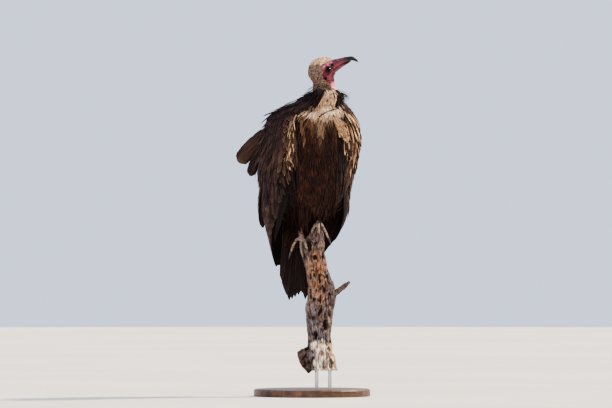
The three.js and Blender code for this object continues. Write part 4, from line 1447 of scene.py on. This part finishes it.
# Each row of spikes: how many, the height of their roots, length and how far their tips stand off.
RUFF_ROWS = [(60, 786, 30, 2.0), (66, 778, 34, 2.5), (66, 770, 36, 3.0), (60, 762, 36, 3.0)]


def ruff_tone(points):
    """Buff where the collar opens over the crop and dark elsewhere, and how buff each place is."""
    across, depth = across_view(points)
    start = BIB_EDGE(points[..., 2] / MM)[0]
    crop = wedge(across / MM - start, -4, 3) * wedge(across / MM, 64, 60) * wedge(depth, 0.0, -0.04)
    return mix(mix(MANTLE * 0.8, HOOD_DARK, 0.2), mix(CROP_BUFF, HOOD_BROWN, 0.35), crop), crop


def round_neck(top, turn, drop, swing, lift, splay):
    """Paths down the neck. Each drops, swings round it and lifts off it, and splay turns its face upwards."""
    z, turns = top[:, None] - drop, turn[:, None] + swing
    paths = neck_place(z, turns, lift)
    return paths, unit(neck_place(z, turns, lift + 5) - paths + np.array([0, 0, splay * MM]))


def neck_unwrap(turn, top):
    """Where a root lies on an unwrap of the neck, 0 to 1 round it and up it."""
    return np.stack([0.01 + 0.98 * (turn / (2 * math.pi) % 1), (top - 735) / 80], -1)


chance = default_rng(111)
turns, tops, longs, lifts = [], [], [], []
for number, (count, top, long, lift) in enumerate(RUFF_ROWS):
    evenly = (np.arange(count) + 0.5 * (number % 2)) / count * 2 * math.pi
    turns.append(evenly + chance.normal(0, 0.03, count))
    tops.append(np.full(count, top) + chance.normal(0, 1.5, count))
    longs.append(long * chance.uniform(0.8, 1.2, count))
    lifts.append(lift + chance.uniform(-2, 3.5, count) + 9 * (chance.random(count) > 0.86))
turn, top, long, tip_lift = (np.concatenate(v) for v in (turns, tops, longs, lifts))
nape = wedge(np.cos(turn), 0.2, -0.8)
top, long = top + 11 * nape, long + 12 * nape
stray = (chance.random(len(turn)) > 0.7) & (np.abs(np.cos(turn)) > 0.8)
tip_lift += 12 * stray
half = np.where(stray, 1.3, 2.6 + 1.2 * chance.random(len(turn)))
# Over the crop they are shorter and broader, and lie flat.
buff = wedge(ruff_tone(neck_place(top, turn))[1], 0.2, 0.5)
long, tip_lift = long * (1 - 0.55 * buff), tip_lift * (1 - 0.9 * buff)
half = half + buff * (4.2 - half)
t = np.linspace(0, 1, 7)[None, :]
lift = -6.5 + (tip_lift + 6.5)[:, None] * t**1.3
swing = chance.normal(0, 0.05, len(turn))[:, None] * t
paths, outward = round_neck(top, turn, long[:, None] * t, swing, lift, 1.5)
tone, _ = ruff_tone(paths[:, 3])
dress(lay("ruff_spikes", "spike", paths, outward, half * MM, tone, mix(tone * 1.6, TAN, 0.35), 0.4,
          neck_unwrap(turn, top), 112, fray=0.2), FEATHER, "plumage")

# %% Thin wisps on the ruff
WISPS = 110
chance = default_rng(118)
turn = chance.uniform(0, 2 * math.pi, WISPS)
top = chance.uniform(766, 788, WISPS) + 10 * wedge(np.cos(turn), 0.2, -0.8)
dark = ruff_tone(neck_place(top, turn))[1] < 0.1
turn, top = turn[dark], top[dark]
long = chance.uniform(16, 32, len(turn))[:, None]
swing = chance.normal(0, 0.12, len(turn))[:, None] * t
paths, outward = round_neck(top, turn, 0.6 * long * t**1.4, swing, -5 + (0.75 * long + 5) * t, 3)
tone = np.tile(MANTLE * 0.6, (len(turn), 1))
dress(lay("ruff_wisps", "spike", paths, outward, chance.uniform(0.8, 1.4, len(turn)) * MM, tone,
          mix(tone, COVERT, 0.5), 0.4, neck_unwrap(turn, top), 119), FEATHER, "plumage")

# %% [markdown]
# ### Collar
# Between the ruff and the mantle the neck spreads into the shoulders. Loose black feathers fan out over it,
# so that no bare patch shows from above or behind.


# %% Collar feathers
def on_collar(points):
    """1 on the slope from the neck to the shoulders, outside the buff crop."""
    across, depth = across_view(points)
    low = 0.728 + 0.034 * wedge(depth, 0.0, -0.03) * wedge(across, -0.055, -0.035)
    slope = wedge(points[:, 2] - low, 0, 0.008) * wedge(points[:, 2], 0.790, 0.784)
    return slope * (1 - ruff_tone(points)[1])


def off_neck(points):
    """Down and away from the neck's own axis."""
    x, y, _, _ = NECK(points[:, 2] / MM)
    away = np.stack([points[:, 0] - x * MM, points[:, 1] - y * MM, 0 * x], -1)
    return 0.7 * unit(away) + np.array([0, 0, -1.0])


chance = default_rng(116)
roots = sow(on_collar, 0.0045, chance)
tone = mix(MANTLE, COVERT, 0.7 * chance.random(len(roots)))
length = chance.uniform(20, 32, len(roots)) - 9 * wedge(across_view(roots)[1], 0.0, -0.03)
tip_lift = chance.uniform(3.0, 9.0, len(roots))
paths, outward = comb(roots, off_neck, length, np.full(len(roots), -0.5), tip_lift, 5)
dress(lay("collar", "body", paths, outward, chance.uniform(2.8, 4.2, len(roots)) * MM, tone,
          mix(tone * 1.5, TAN, 0.3), 0.5, unroll(roots, 0.72, 0.80), 117), FEATHER, "plumage")

# %% [markdown]
# ### Shoulder bands
# Where a wing meets the breast, broad pale feathers sweep down and outward and overlap like tiles. They
# stand a few millimetres off the coat, so they catch the lamp and cast small dark shadows. Outside them on
# the left wing lie longer feathers, some pale and some dark. On the right wing they are smaller and have
# dark middles.

# %% Left shoulder band
BAND_FEATHERS = 110
chance = default_rng(131)
along, beside = chance.uniform(0.08, 0.95, BAND_FEATHERS), chance.uniform(-1, 1, BAND_FEATHERS)
rank = np.argsort(-along)
along, beside = along[rank], beside[rank]
taper = np.sin(math.pi * along) ** 0.6
s = 149 - 56 * along - 6 * beside * taper
turn = np.radians(2 + 31 * along) - 0.07 * beside * taper
paths, outward = loose_paths(cloak, s, turn, (16, 30), 0.62 - 0.3 * along, 0.12, -1.5, (1.5, 9.0), chance)
# The palest tan here is partly the feathers' own tan and partly painted sunlight.
tone = mix(TAN * 0.4, SUNLIT_TAN * 0.85, np.clip(0.3 + 0.3 * beside + 0.55 * chance.random(BAND_FEATHERS), 0, 1))
half = chance.uniform(2.8, 4.8, BAND_FEATHERS)
border = mix(tone * 0.5, SUNLIT_TAN, chance.random(BAND_FEATHERS))
dress(lay("shoulder_band", "covert", paths, outward, half * MM, tone, border, 0.8, body_unwrap(s, turn), 132,
          fray=0.25, camber=0.3), COVERTS, "plumage")

# %% Sunlit feathers outside the left band
OUTER_FEATHERS = 120
chance = default_rng(134)
s = np.sort(chance.uniform(22, 158, OUTER_FEATHERS))
low = wedge(s, 90, 50)
turn = np.radians(30 + 16 * low + (30 - 14 * low) * chance.random(OUTER_FEATHERS))
drift = 0.12 * wedge(s, 60, 120)
paths, outward = loose_paths(cloak, s, turn, (34, 54), drift, 0.06, -1.5, (1.0, 8.0), chance)
# Pale tan on these feathers is painted sunlight, fading lower down and further back.
fading = np.maximum(wedge(s, 90, 30), wedge(turn, 0.85, 1.05))
dark = 1.0 * (chance.random(OUTER_FEATHERS) > 0.55 - 0.3 * fading)
pale = mix(TAN, SUNLIT_TAN, chance.random(OUTER_FEATHERS) * (1 - 0.7 * fading))
half = chance.uniform(3.0, 5.2, OUTER_FEATHERS)
border = mix(mix(SUNLIT_TAN * 1.15, TAN, fading), COVERT, 0.8 * dark)
dress(lay("outer_band", "covert", paths, outward, half * MM, mix(pale, QUILL, dark), border, 0.7,
          wing_unwrap(s, turn), 135, fray=0.25, camber=0.3), COVERTS, "plumage")

# %% Right shoulder band
FRONT_FEATHERS = 120
chance = default_rng(136)
s = np.sort(chance.uniform(20, 142, FRONT_FEATHERS))
turn = -np.radians(WING_REACH(s)[0] + 3.5 + 4 * wedge(s, 60, 120) + 5.5 * chance.random(FRONT_FEATHERS))
paths, outward = loose_paths(cloak, s, turn, (24, 42), 0.0, 0.1, -1.5, (1.0, 6.5), chance)
fading = wedge(s, 80, 30)
pale = chance.random(FRONT_FEATHERS) > 0.62 + 0.3 * fading
# The palest feathers and edges here carry painted highlights in sunlit tan.
tone = mix(COVERT * 0.45, SUNLIT_TAN * 0.9, pale * chance.uniform(0.4, 1, FRONT_FEATHERS))
half = chance.uniform(1.5, 2.9, FRONT_FEATHERS)
border = mix(TAN * 0.5, SUNLIT_TAN * 1.2, chance.random(FRONT_FEATHERS) * (1 - 0.75 * fading))
dress(lay("front_band", "covert", paths, outward, half * MM, tone, border, 0.85, wing_unwrap(s, turn), 137,
          fray=0.3, camber=0.3), COVERTS, "plumage")

# %% [markdown]
# ### Long vanes, rump and fringe
# Long dark vanes hang down over the left flank and along the right wing's free edge. Behind, the folded
# wings leave a valley down the middle of the back, so the feathers over it hang straight from the ridge
# above, as they do on the bird. A loose fringe curls under the belly, and a line of dark feathers under the
# crop is painted shade in the crease there.

# %% Left flank vanes
FLANK_VANES = 56
chance = default_rng(141)
s = np.sort(chance.uniform(-62, 104, FLANK_VANES))
near = wedge(s, 104, 30) * (1 - 0.35 * wedge(s, 0, -60))
turn = np.radians(WING_REACH(s)[0] + 2 - (3 + 19 * near) * chance.random(FLANK_VANES))
paths, outward = loose_paths(breast, s, turn, (52, 84), 0.03, 0.03, -3.0, (0.5, 3.5), chance)
tone = QUILL * chance.uniform(0.35, 1.2, (FLANK_VANES, 1))
half = chance.uniform(3.0, 4.6, FLANK_VANES)
border = mix(COVERT, TAN * 1.1, 1.0 * (chance.random(FLANK_VANES) > 0.4))
dress(lay("flank_vanes", "streak", paths, outward, half * MM, tone, border, 0.75, body_unwrap(s, turn), 142,
          fray=0.2, camber=0.3), VANES, "plumage")

# %% Dark vanes along the right wing's free edge
EDGE_VANES = 60
chance = default_rng(143)
s = np.sort(chance.uniform(-112, 34, EDGE_VANES))
turn = -np.radians(WING_REACH(s)[0] - 1 + 15 * chance.random(EDGE_VANES))
paths, outward = loose_paths(cloak, s, turn, (48, 80), 0.0, 0.03, -2.0, (0.2, 3.0), chance)
tone = QUILL * chance.uniform(0.3, 0.9, (EDGE_VANES, 1))
half = chance.uniform(2.6, 4.2, EDGE_VANES)
border = mix(QUILL, COVERT, chance.random(EDGE_VANES))
dress(lay("edge_vanes", "streak", paths, outward, half * MM, tone, border, 0.7,
          wing_unwrap(s, turn, -130), 144, fray=0.25, camber=0.3), VANES, "plumage")

# %% Feathers over the gap between the wings
RUMP_FEATHERS = 64
RIDGE = -46.0  # how far up the spine the back still stands full
chance = default_rng(145)
s = np.sort(chance.uniform(-112, -34, RUMP_FEATHERS))
turn = math.pi + 0.26 * chance.uniform(-1, 1, RUMP_FEATHERS)
x, y, _ = to_body(cloak(np.full(RUMP_FEATHERS, RIDGE), turn, 2.0))
drop = chance.uniform(48, 70, RUMP_FEATHERS)[:, None] * np.linspace(0, 1, 8)
back = y[:, None] - 0.10 * (RIDGE - s[:, None] + drop) + chance.uniform(-1, 2, (RUMP_FEATHERS, 1))
paths = from_body(x[:, None] + 0 * drop, back, s[:, None] - drop)
outward = np.tile(np.array([0, 1.0, 0.1]), (RUMP_FEATHERS, 8, 1))
tone = mix(MANTLE, COVERT, chance.random(RUMP_FEATHERS))
dress(lay("rump_feathers", "covert", paths, outward, chance.uniform(5.5, 8.0, RUMP_FEATHERS) * MM, tone,
          mix(tone * 1.4, TAN, 0.2), 0.6, wing_unwrap(s, turn, -130) - [0.07, 0], 148, fray=0.25),
      COVERTS, "plumage")

# %% Fringe under the belly
FRINGE = 340
chance = default_rng(151)
s, turn = chance.uniform(-128, -88, FRINGE), chance.uniform(-1.4, 1.4, FRINGE)
start = breast(s, turn, -1.5)
across, _ = across_view(start)
hang = 16 + 26 * wedge(across, 0.002, -0.010) + 10 * wedge(across, 0.030, 0.040)
hang = hang * chance.uniform(0.7, 1.25, FRINGE) * MM
first = unit(breast(s - 4, turn, -1.5) - start)
t = np.linspace(0, 1, 7)[None, :, None]
bend = first[:, None] * (t - t**2 / 2) + np.array([0, 0, -1.0]) * t**2 / 2
bend = bend + chance.normal(0, 0.05, (FRINGE, 1, 3)) * t
paths = start[:, None] + bend * hang[:, None, None] * 1.5
outward = np.repeat(facing(breast, s, turn)[:, None], 7, 1)
tone = mix(breast_colour(start), BELLY * 0.6, 0.6 * chance.random(FRINGE))
dress(lay("belly_fringe", "body", paths, outward, chance.uniform(2.4, 3.6, FRINGE) * MM, tone,
          mix(tone * 1.4, TAN, 0.12), 0.5, body_unwrap(s, turn), 152), FEATHER, "plumage")

# %% Crease under the crop, its shade painted as a dark line
CREASE = profile([[0, 14, 717], [0.4, 31, 727], [0.75, 50, 735], [1, 66, 737]])  # along it: across and up
CREASE_SHAPE = (16, 5)  # how many feathers, and places along each
chance = default_rng(146)
start = np.linspace(0, 0.86, 16)
across, up = CREASE(start[:, None] + np.linspace(0, 0.16, 5)) + chance.normal(0, 0.7, (2, 16, 1))
paths, outward = np.empty((2, *CREASE_SHAPE, 3))
for index in np.ndindex(CREASE_SHAPE):
    ray = Vector(RIGHTWARD) * across[index] * MM + UP * up[index] * MM - AWAY
    place, normal, _, _ = SKIN_TREE.ray_cast(ray, AWAY)
    paths[index], outward[index] = place + normal * (BODY_COAT + 0.7) * MM, normal
# The crease's feathers are dark: painted shade under the bulging crop.
tone = np.tile(COVERT, (16, 1))
dress(lay("crop_crease_shade", "body", paths, outward, np.full(16, 1.15 * MM), tone, tone * 0.6, 0.5,
          np.stack([0.55 + across[:, 0] / 600, (up[:, 0] - 465) / 330], -1), 147), FEATHER, "plumage")

# %% [markdown]
# ## Hood
# The back of the head and the neck carry dense woolly down, cream over the crown and grey-brown below. It
# is combed from thousands of tiny tufts that lie back from the bill and then down the neck.


# %% Hood down
def on_hood(points):
    x, y, _, _ = NECK(points[:, 2] / MM)
    beside = np.hypot(points[:, 0] / MM - x, points[:, 1] / MM - y)
    shoulders = wedge(points[:, 2], 0.800, 0.785) * wedge(beside, 34, 38)
    above = wedge(points[:, 2] - hood_foot(points), 0, 0.004)
    return above * (1 - bareness(to_head(points))) * (1 - shoulders)


def down_hood(points):
    x, _, z = to_head(points).T
    over = wedge(z, -6, 16)[:, None]
    back = -HEAD_AXES[0] * over + np.array([0, 0, -1.0]) * (1 - over)
    return back + HEAD_AXES[2] * (-0.5 * over)


chance = default_rng(121)
roots = sow(on_hood, 0.0019, chance)
height = to_head(roots)[:, 2]
length = (3.2 + 1.4 * wedge(height, -20, -40)) * chance.uniform(0.75, 1.3, len(roots))
paths, outward = comb(roots, down_hood, length, np.full(len(roots), -0.2),
                      chance.uniform(0.2, 2.6, len(roots)) * (1 + 1.3 * wedge(height, -6, -34)))
tone = head_colour(roots) * chance.uniform(0.7, 1.3, (len(roots), 1))
dotted = (chance.random(len(roots)) > 0.86) * wedge(roots[:, 2], 0.856, 0.850)
tone = mix(tone, HOOD_DARK * 0.6, 0.9 * dotted)
order = np.argsort(roots[:, 2])
for number, part in enumerate(np.array_split(order, 2)):
    hood = lay(f"hood_down_{number}", "down", paths[part], outward[part],
               (1.0 + 0.5 * wedge(height[part], 10, -20)) * MM, tone[part], tone[part] * 1.3, 0.3,
               unroll(roots[part], 0.77, 0.88), 122 + number)
    dress(hood, DOWN, "down")

# %% [markdown]
# ## Bill
# The bill is long and slender for a vulture: a soft mauve base, a reddish brown middle and a black hook.
# Each half is a tube along the curve of the solid. Its points are then moved so that the two halves meet in
# one clean line and the hook hangs over the lower half.

# %% Bill
BILL_UPPER = [[27, 0, 4.6], [48, 0, 6.2], [66, 0, 5.4], [79, 0, 3.6], [87.5, 0, -2.4], [92, 0, -11]]
UPPER_SIZES = [[0, 13, 10.5], [0.3, 9, 7.6], [0.6, 6.4, 6], [0.8, 4.8, 5], [0.93, 2.8, 2.8], [1, 0.6, 0.6]]
BILL_LOWER = [[21, 0, -12], [44, 0, -6.4], [60, 0, -3.4], [76, 0, -1.4]]
LOWER_SIZES = [[0, 6.5, 9.5], [0.4, 4.4, 6.4], [0.8, 3, 4], [1, 1, 1.4]]
MOUTH = profile([[20, -5.8], [32, -4.4], [44, -2.4], [60, -0.9], [76, -0.7], [84, -4]])
CERE_END = 46
MAUVE, MAUVE_DARK = paint(122, 56, 68), paint(76, 32, 48)
BILL_RED, HOOK = paint(96, 46, 44), paint(18, 12, 12)


def bill_relief(points, upper):
    x, y, z = to_head(points).T
    mouth = MOUTH(x)[0]
    swell = 0.5 * bump(x - CERE_END + 3 + 0.25 * z, 4) - 0.9 * bump(x - CERE_END - 2 + 0.25 * z, 1.4)
    fine = speckle(points, 0.0022)
    broad = grained(to_head(points), (14, 3, 3))
    ridge = 0.5 * bump(np.abs(y) - 2.6 * wedge(x, 84, 50), 1.0) * wedge(z - mouth, 3, 7)
    rise = swell + 0.22 * fine * wedge(x, 52, 44) + 0.3 * broad + ridge * upper
    rise = rise * wedge(x, 26, 33) * wedge(x, 92, 86)
    middle = np.stack([x, 0 * y, np.where(upper, mouth + 4, mouth - 3)], -1)
    out = unit(np.stack([x, y, z], -1) - middle)
    moved = np.stack([x, y, z], -1) + out * rise[:, None]
    if upper:
        lip = mouth - 0.9 * wedge(np.abs(moved[:, 1]), 1.5, 4)
        moved[:, 2] = np.where(x < 80, np.maximum(moved[:, 2], lip), moved[:, 2])
    else:
        moved[:, 2] = np.minimum(moved[:, 2], mouth - 0.25)
        moved[:, 1] *= 0.93
    return from_head(moved)


def bill_colour(points):
    x, y, z = to_head(points).T
    cloud = speckle(points, 0.004, 51)
    streak = grained(to_head(points), (16, 3.5, 2.2))
    soft = mix(MAUVE, MAUVE_DARK, 0.8 * wedge(z - MOUTH(x)[0], 5, 11) + 0.35 * wedge(cloud, 0, 0.5))
    horn = mix(BILL_RED, MAUVE_DARK * 0.6, wedge(streak, -0.1, 0.5))
    tone = mix(soft, horn, wedge(x + 0.3 * z, 42, 58))
    black = wedge(x + 0.9 * (z - 4) + 2.5 * streak, 62, 70)
    under = wedge(x, 52, 62) * wedge(z - MOUTH(x)[0], 2.2, 0.2)
    return mix(tone, HOOK, np.maximum(black, under))


made = Nodes("bill_horn", 0.34, Specular_IOR_Level=0.38)
grain = made.noise(420.0, 4.0)
tone = made.shade(made.tint(), made.fade(grain, 0.3, 0.7, 0.82, 1.15))
BILL_HORN = made.finish(tone, made.bumps(grain, 0.0004, 0.5), made.fade(grain, 0.3, 0.7, 0.28, 0.44))

for name, route, sizes, upper in (("bill_upper_horn", BILL_UPPER, UPPER_SIZES, True),
                                  ("bill_lower_horn", BILL_LOWER, LOWER_SIZES, False)):
    horn = tube(name, from_head(route), sizes, sides=32, steps=56, up=HEAD_AXES[2])
    set_corners(horn, bill_relief(corners(horn), upper))
    finish_modifier(horn, "SMOOTH", factor=0.3, iterations=1)
    store_tint(horn, bill_colour(corners(horn)))
    horn.data.shade_smooth()
    dress(horn, BILL_HORN, "horn", name.replace("_horn", ""))
    print(name, "points:", len(horn.data.vertices))

# %% [markdown]
# ## Eyes
# An eye is a ball with a clear bulge over its dark iris. The bulge catches the lamp as one small bright
# spot, which is what makes a mount look alive. A map of the distance from the pupil drives the colours.

# %% Eyes
made = Nodes("eye_gloss", 0.05, IOR=1.34, Specular_IOR_Level=0.28)
gaze = made.add("SeparateXYZ", {0: made.add("UVMap", uv_map="gaze").outputs[0]})
out, around = gaze.outputs[0], gaze.outputs[1]
spokes = made.vector(made.sum("MULTIPLY", out, 6.0), made.sum("MULTIPLY", around, 60.0))
rays = made.noise(1.5, place=spokes)
iris = made.blend(rays, paint(11, 8, 8), paint(28, 17, 13))
iris = made.blend(made.fade(out, 0.52, 0.6), iris, paint(16, 10, 9))
tone = made.blend(made.fade(out, 0.3, 0.27), iris, paint(4, 4, 5))
EYE_GLOSS = made.finish(tone)

for name, side in SIDES.items():
    centre, outward = eye_socket(side)
    bpy.ops.mesh.primitive_uv_sphere_add(segments=40, ring_count=28, radius=EYE_RADIUS * MM, location=centre,
                                         rotation=outward.to_track_quat("Z", "Y").to_euler())
    ball = bpy.context.object
    ball.name = f"eyeball_{name}"
    settle()
    facing_out = unit(corners(ball) - centre) @ np.array(outward)
    set_corners(ball, corners(ball) + np.array(outward) * (0.9 * MM * wedge(facing_out, 0.80, 0.96))[:, None])
    polar = np.arccos(np.clip(facing_out, -1, 1)) / (math.pi / 2)
    place = corners(ball) - centre
    spin = np.arctan2(place @ HEAD_AXES[2], place @ HEAD_AXES[0]) / (2 * math.pi) + 0.5
    used = np.array([loop.vertex_index for loop in ball.data.loops])
    layer = ball.data.uv_layers.new(name="gaze")
    layer.data.foreach_set("uv", np.stack([polar, spin], -1)[used].astype(np.float32).ravel())
    ball.data.shade_smooth()
    dress(ball, EYE_GLOSS, "eye", f"eye_{name}")
print("eyes set", round(EYE_RADIUS * 2), "mm across")

# %% [markdown]
# ## Claws
# The claws are short, blunt and dark, because this bird walks and rakes more than it grips. The solids have
# the right curve, so copies of them are melted smooth and given a faint lengthwise grain.

# %% Claws
made = Nodes("claw_horn", 0.32, Specular_IOR_Level=0.5)
grain = made.noise(500.0, 4.0, (1, 1, 0.25))
tone = made.blend(made.fade(grain, 0.35, 0.7), paint(30, 24, 23), paint(74, 62, 56))
CLAW_HORN = made.finish(tone, made.bumps(grain, 0.0005, 0.6), made.fade(grain, 0.3, 0.7, 0.25, 0.45))
for side in SIDES:
    names = [f"claw_{side}_{toe}" for toe in TOES]
    claws = join(f"claws_{side}", [solid_copy(n) for n in names])
    finish_modifier(claws, "REMESH", mode="VOXEL", voxel_size=0.55 * MM)
    finish_modifier(claws, "SMOOTH", factor=0.5, iterations=5)
    claws.data.shade_smooth()
    dress(claws, CLAW_HORN, "horn", *names)
    print(claws.name, "faces:", len(claws.data.polygons))

# %% [markdown]
# ## Perch
# The perch is a dead branch, long weathered. Its bark has gone, the wood has greyed and split along the
# grain, and near the lower end it is broken open to pale splinters. The solids are welded into one piece,
# and the splits, plates and holes are pressed into it.

# %% Perch shape
WOOD_VOXEL = 1.5 * MM
# Holes on the front: across, up, half-width, half-height (mm) and depth.
WOOD_HOLES = [(-9, 386, 8, 16, 6), (8, 357, 6, 7, 5), (35, 184, 8, 14, 7), (8, 158, 7, 7, 3),
              (44, 120, 5, 8, 5), (20, 300, 3, 12, 4), (-4, 262, 3, 16, 3), (50, 80, 5, 20, 6),
              (30, 66, 4, 24, 5)]


def wood_noise(points, wide, tall, seed):
    """Noise that is wide across the grain and tall along it, in millimetres."""
    return grained(points / MM, (wide, wide, tall), seed)


def in_perch(points):
    """Across the perch's front, away from it and up, in millimetres."""
    across, away = across_view(points)
    return across / MM, away / MM, points[:, 2] / MM


def broken(points):
    """1 on the broken, splintered wood near the lower end, 0 on the weathered wood."""
    x, y, z = in_perch(points)
    ragged = 7 * wood_noise(points, 13, 13, 5) + 3 * wood_noise(points, 5, 9, 15)
    rim = 146 - 0.012 * (x - 22) ** 2  # a rounded upper edge
    return wedge(z + ragged, rim + 4, rim - 5) * wedge(x + ragged - (135 - z) * 0.15, -8, 0) * wedge(y, 18, 4)


def wood_relief(points):
    x, y, z = in_perch(points)
    front = wedge(y, 6, -6)
    plates = wedge(wood_noise(points, 11, 42, 1), -0.05, 0.03)
    split = np.abs(wood_noise(points, 7, 80, 2))
    thin = np.abs(wood_noise(points, 3.6, 46, 3))
    fibre = wood_noise(points, 1.8, 26, 4)
    rough = wood_noise(points, 3.0, 4.0, 6)
    open_wood = broken(points)
    lumps = wood_noise(points, 9, 16, 8)
    rise = -1.5 * (1 - plates) - 3.2 * bump(split, 0.035) - 1.3 * bump(thin, 0.06)
    rise += 0.35 * fibre + 0.4 * rough
    rise += 1.3 * lumps - 1.6 * wedge(lumps, -0.25, -0.45)
    splinter = wood_noise(points, 5.5, 34, 7)
    rise = rise * (1 - 0.55 * open_wood) + open_wood * (2.6 * splinter - 0.9)
    twig = wedge(x, 50, 56) * wedge(z, 220, 240)
    rise += twig * (1.1 + 1.6 * rough)
    for across, up, wide, tall, deep in WOOD_HOLES:
        away = np.hypot((x - across) / wide, (z - up) / tall) + 0.25 * rough
        rise -= front * deep * wedge(away, 1.05, 0.7)
    sawn = wedge(z, 69, 74)
    return rise * sawn * (1 - 0.6 * twig) + 1.5 * twig


wood = join("weathered_perch", [solid_copy("perch"), solid_copy("perch_twig")])
finish_modifier(wood, "REMESH", mode="VOXEL", voxel_size=WOOD_VOXEL)
finish_modifier(wood, "SMOOTH", factor=0.5, iterations=3)
points = corners(wood)
rise = wood_relief(points)
set_corners(wood, points + corners(wood, "normal") * rise[:, None] * MM)
wood.data.shade_smooth()
print("perch faces:", len(wood.data.polygons))

# %% Perch colour and finish
WOOD_GREY, WOOD_LILAC, WOOD_TAN = paint(132, 112, 101), paint(88, 79, 82), paint(172, 118, 80)
WOOD_PALE, WOOD_DARK, WOOD_UMBER = paint(255, 236, 212), paint(22, 15, 13), paint(74, 46, 32)
WOOD_PINK, WOOD_BLUE = paint(158, 124, 102), paint(110, 107, 116)


def wood_colour(points, rise):
    x, y, z = in_perch(points)
    cloud, band, thin = (wood_noise(points, *v) for v in ((9, 20, 11), (4, 26, 12), (2.2, 15, 13)))
    fleck, patch = wood_noise(points, 2.6, 7, 14), wood_noise(points, 6, 11, 16)
    front = wedge(y, 14, -4)
    tone = mix(WOOD_GREY, WOOD_LILAC, wedge(cloud, -0.2, 0.4))
    tone = mix(tone, WOOD_UMBER, 0.65 * wedge(patch, 0.0, 0.3))
    low = wedge(z, 250, 225) * wedge(x, 26, 6) + wedge(z, 172, 160)
    tone = mix(tone, WOOD_BLUE, 0.7 * np.clip(low, 0, 1) * wedge(cloud, -0.4, 0.1))
    flank = bump(np.hypot((x + 6) / 17, (z - 305) / 70), 1.0) * front
    tone = mix(tone, WOOD_PINK, 0.9 * flank * wedge(cloud, -0.5, 0.0))
    heart = bump(np.hypot((x - 18 + 0.05 * (z - 300)) / 18, (z - 302) / 62), 1.0) * front
    tone = mix(tone, WOOD_TAN, np.clip(1.2 * heart, 0, 1) * wedge(band + 0.5 * cloud, -0.35, 0.05))
    tone = mix(tone, WOOD_UMBER * 0.6, 0.8 * heart * wedge(patch, 0.08, 0.25))
    # Painted shade: the upper right edge of the perch is darkened.
    tone = mix(tone, WOOD_LILAC * 0.7, 0.6 * wedge(x - 0.05 * (300 - z), 36, 46) * (z > 235))
    bark = wedge(x + 0.28 * (z - 100), -4, -14) * wedge(z, 142, 132)
    tone = mix(tone, mix(WOOD_UMBER * 0.8, WOOD_GREY, 0.3 + 0.4 * cloud), 0.9 * bark)
    open_wood = broken(points)
    stain = 0.8 * wedge(band + 0.6 * patch + 0.012 * (x - 20), -0.02, 0.3)
    tone = mix(tone, mix(WOOD_PALE, mix(WOOD_TAN * 0.8, WOOD_UMBER, 0.3), stain), open_wood)
    tone = mix(tone, WOOD_PALE * 0.5, 0.25 * wedge(fleck, 0.3, 0.5) * front)
    tone = mix(tone, WOOD_DARK, (0.8 - 0.2 * open_wood) * wedge(thin, 0.18, 0.42))
    twig = wedge(x, 54, 60) * wedge(z, 225, 240)
    tone = mix(tone, mix(WOOD_GREY, WOOD_UMBER, 0.5), 0.7 * twig)
    # Painted shade: the deep splits and holes are darkened to near black.
    return mix(tone, WOOD_DARK, (0.95 - 0.35 * open_wood) * wedge(rise, -1.4, -3.2))


store_tint(wood, wood_colour(points, rise))
made = Nodes("weathered_wood", 0.85, Specular_IOR_Level=0.25)
fibres = made.noise(600.0, 5.0, (1, 1, 0.06), 0.65)
pits = made.noise(300.0, 4.0, (1, 1, 0.3), 0.6)
light = made.sum("MULTIPLY", made.fade(fibres, 0.32, 0.68, 0.42, 1.4), made.fade(pits, 0.32, 0.62, 0.6, 1.2))
tone = made.shade(made.tint(), light)
WEATHERED = made.finish(tone, made.bumps(fibres, 0.0014, 0.9), made.fade(fibres, 0.3, 0.7, 0.95, 0.75))
dress(wood, WEATHERED, "dead_wood", "perch", "perch_twig")

# %% [markdown]
# ## Stand and floor
# The base is turned from dark hardwood and rubbed with satin oil, and the rods are brushed steel. Their
# solids are already right, so they only get better finishes. The base's grain is drawn as noise streaks
# that run along the x axis.

# %% Stand and floor finishes
made = Nodes("satin_base", 0.42, Specular_IOR_Level=0.45)
wobble = made.noise(6.0, 3.0)
lines = made.noise(40.0, 5.0, (0.08, 1.6, 1.0), 0.6)
fine = made.noise(300.0, 4.0, (0.04, 1.0, 1.0), 0.6)
tone = made.blend(made.fade(lines, 0.35, 0.68), paint(58, 38, 26), paint(108, 74, 50))
tone = made.blend(made.sum("MULTIPLY", made.fade(fine, 0.55, 0.75), 0.5), tone, paint(34, 22, 16))
tone = made.blend(made.sum("MULTIPLY", made.fade(wobble, 0.4, 0.7), 0.25), tone, paint(88, 60, 40))
SATIN_BASE = made.finish(tone, made.bumps(fine, 0.0003, 0.4), made.fade(fine, 0.3, 0.75, 0.36, 0.55))

made = Nodes("brushed_rod", 0.3, Metallic=1.0)
made.shader.inputs["Base Color"].default_value = (0.56, 0.56, 0.57, 1)
turned = made.noise(900.0, 3.0, (0.2, 0.2, 6.0))
BRUSHED_ROD = made.finish(None, made.bumps(turned, 0.0001, 0.4), made.fade(turned, 0.3, 0.7, 0.24, 0.4))

made = Nodes("pale_floor", 0.8, Specular_IOR_Level=0.2)
cloud = made.noise(1.2, 4.0)
tone = made.blend(made.fade(cloud, 0.3, 0.7), paint(214, 208, 198), paint(224, 218, 208))
PALE_FLOOR = made.finish(tone)

for node, look in (("stand_base", SATIN_BASE), ("stand_rod_1", BRUSHED_ROD), ("stand_rod_2", BRUSHED_ROD)):
    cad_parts[node].material_slots[0].material = look
floor.data.materials.append(PALE_FLOOR)
print("stand and floor finished")
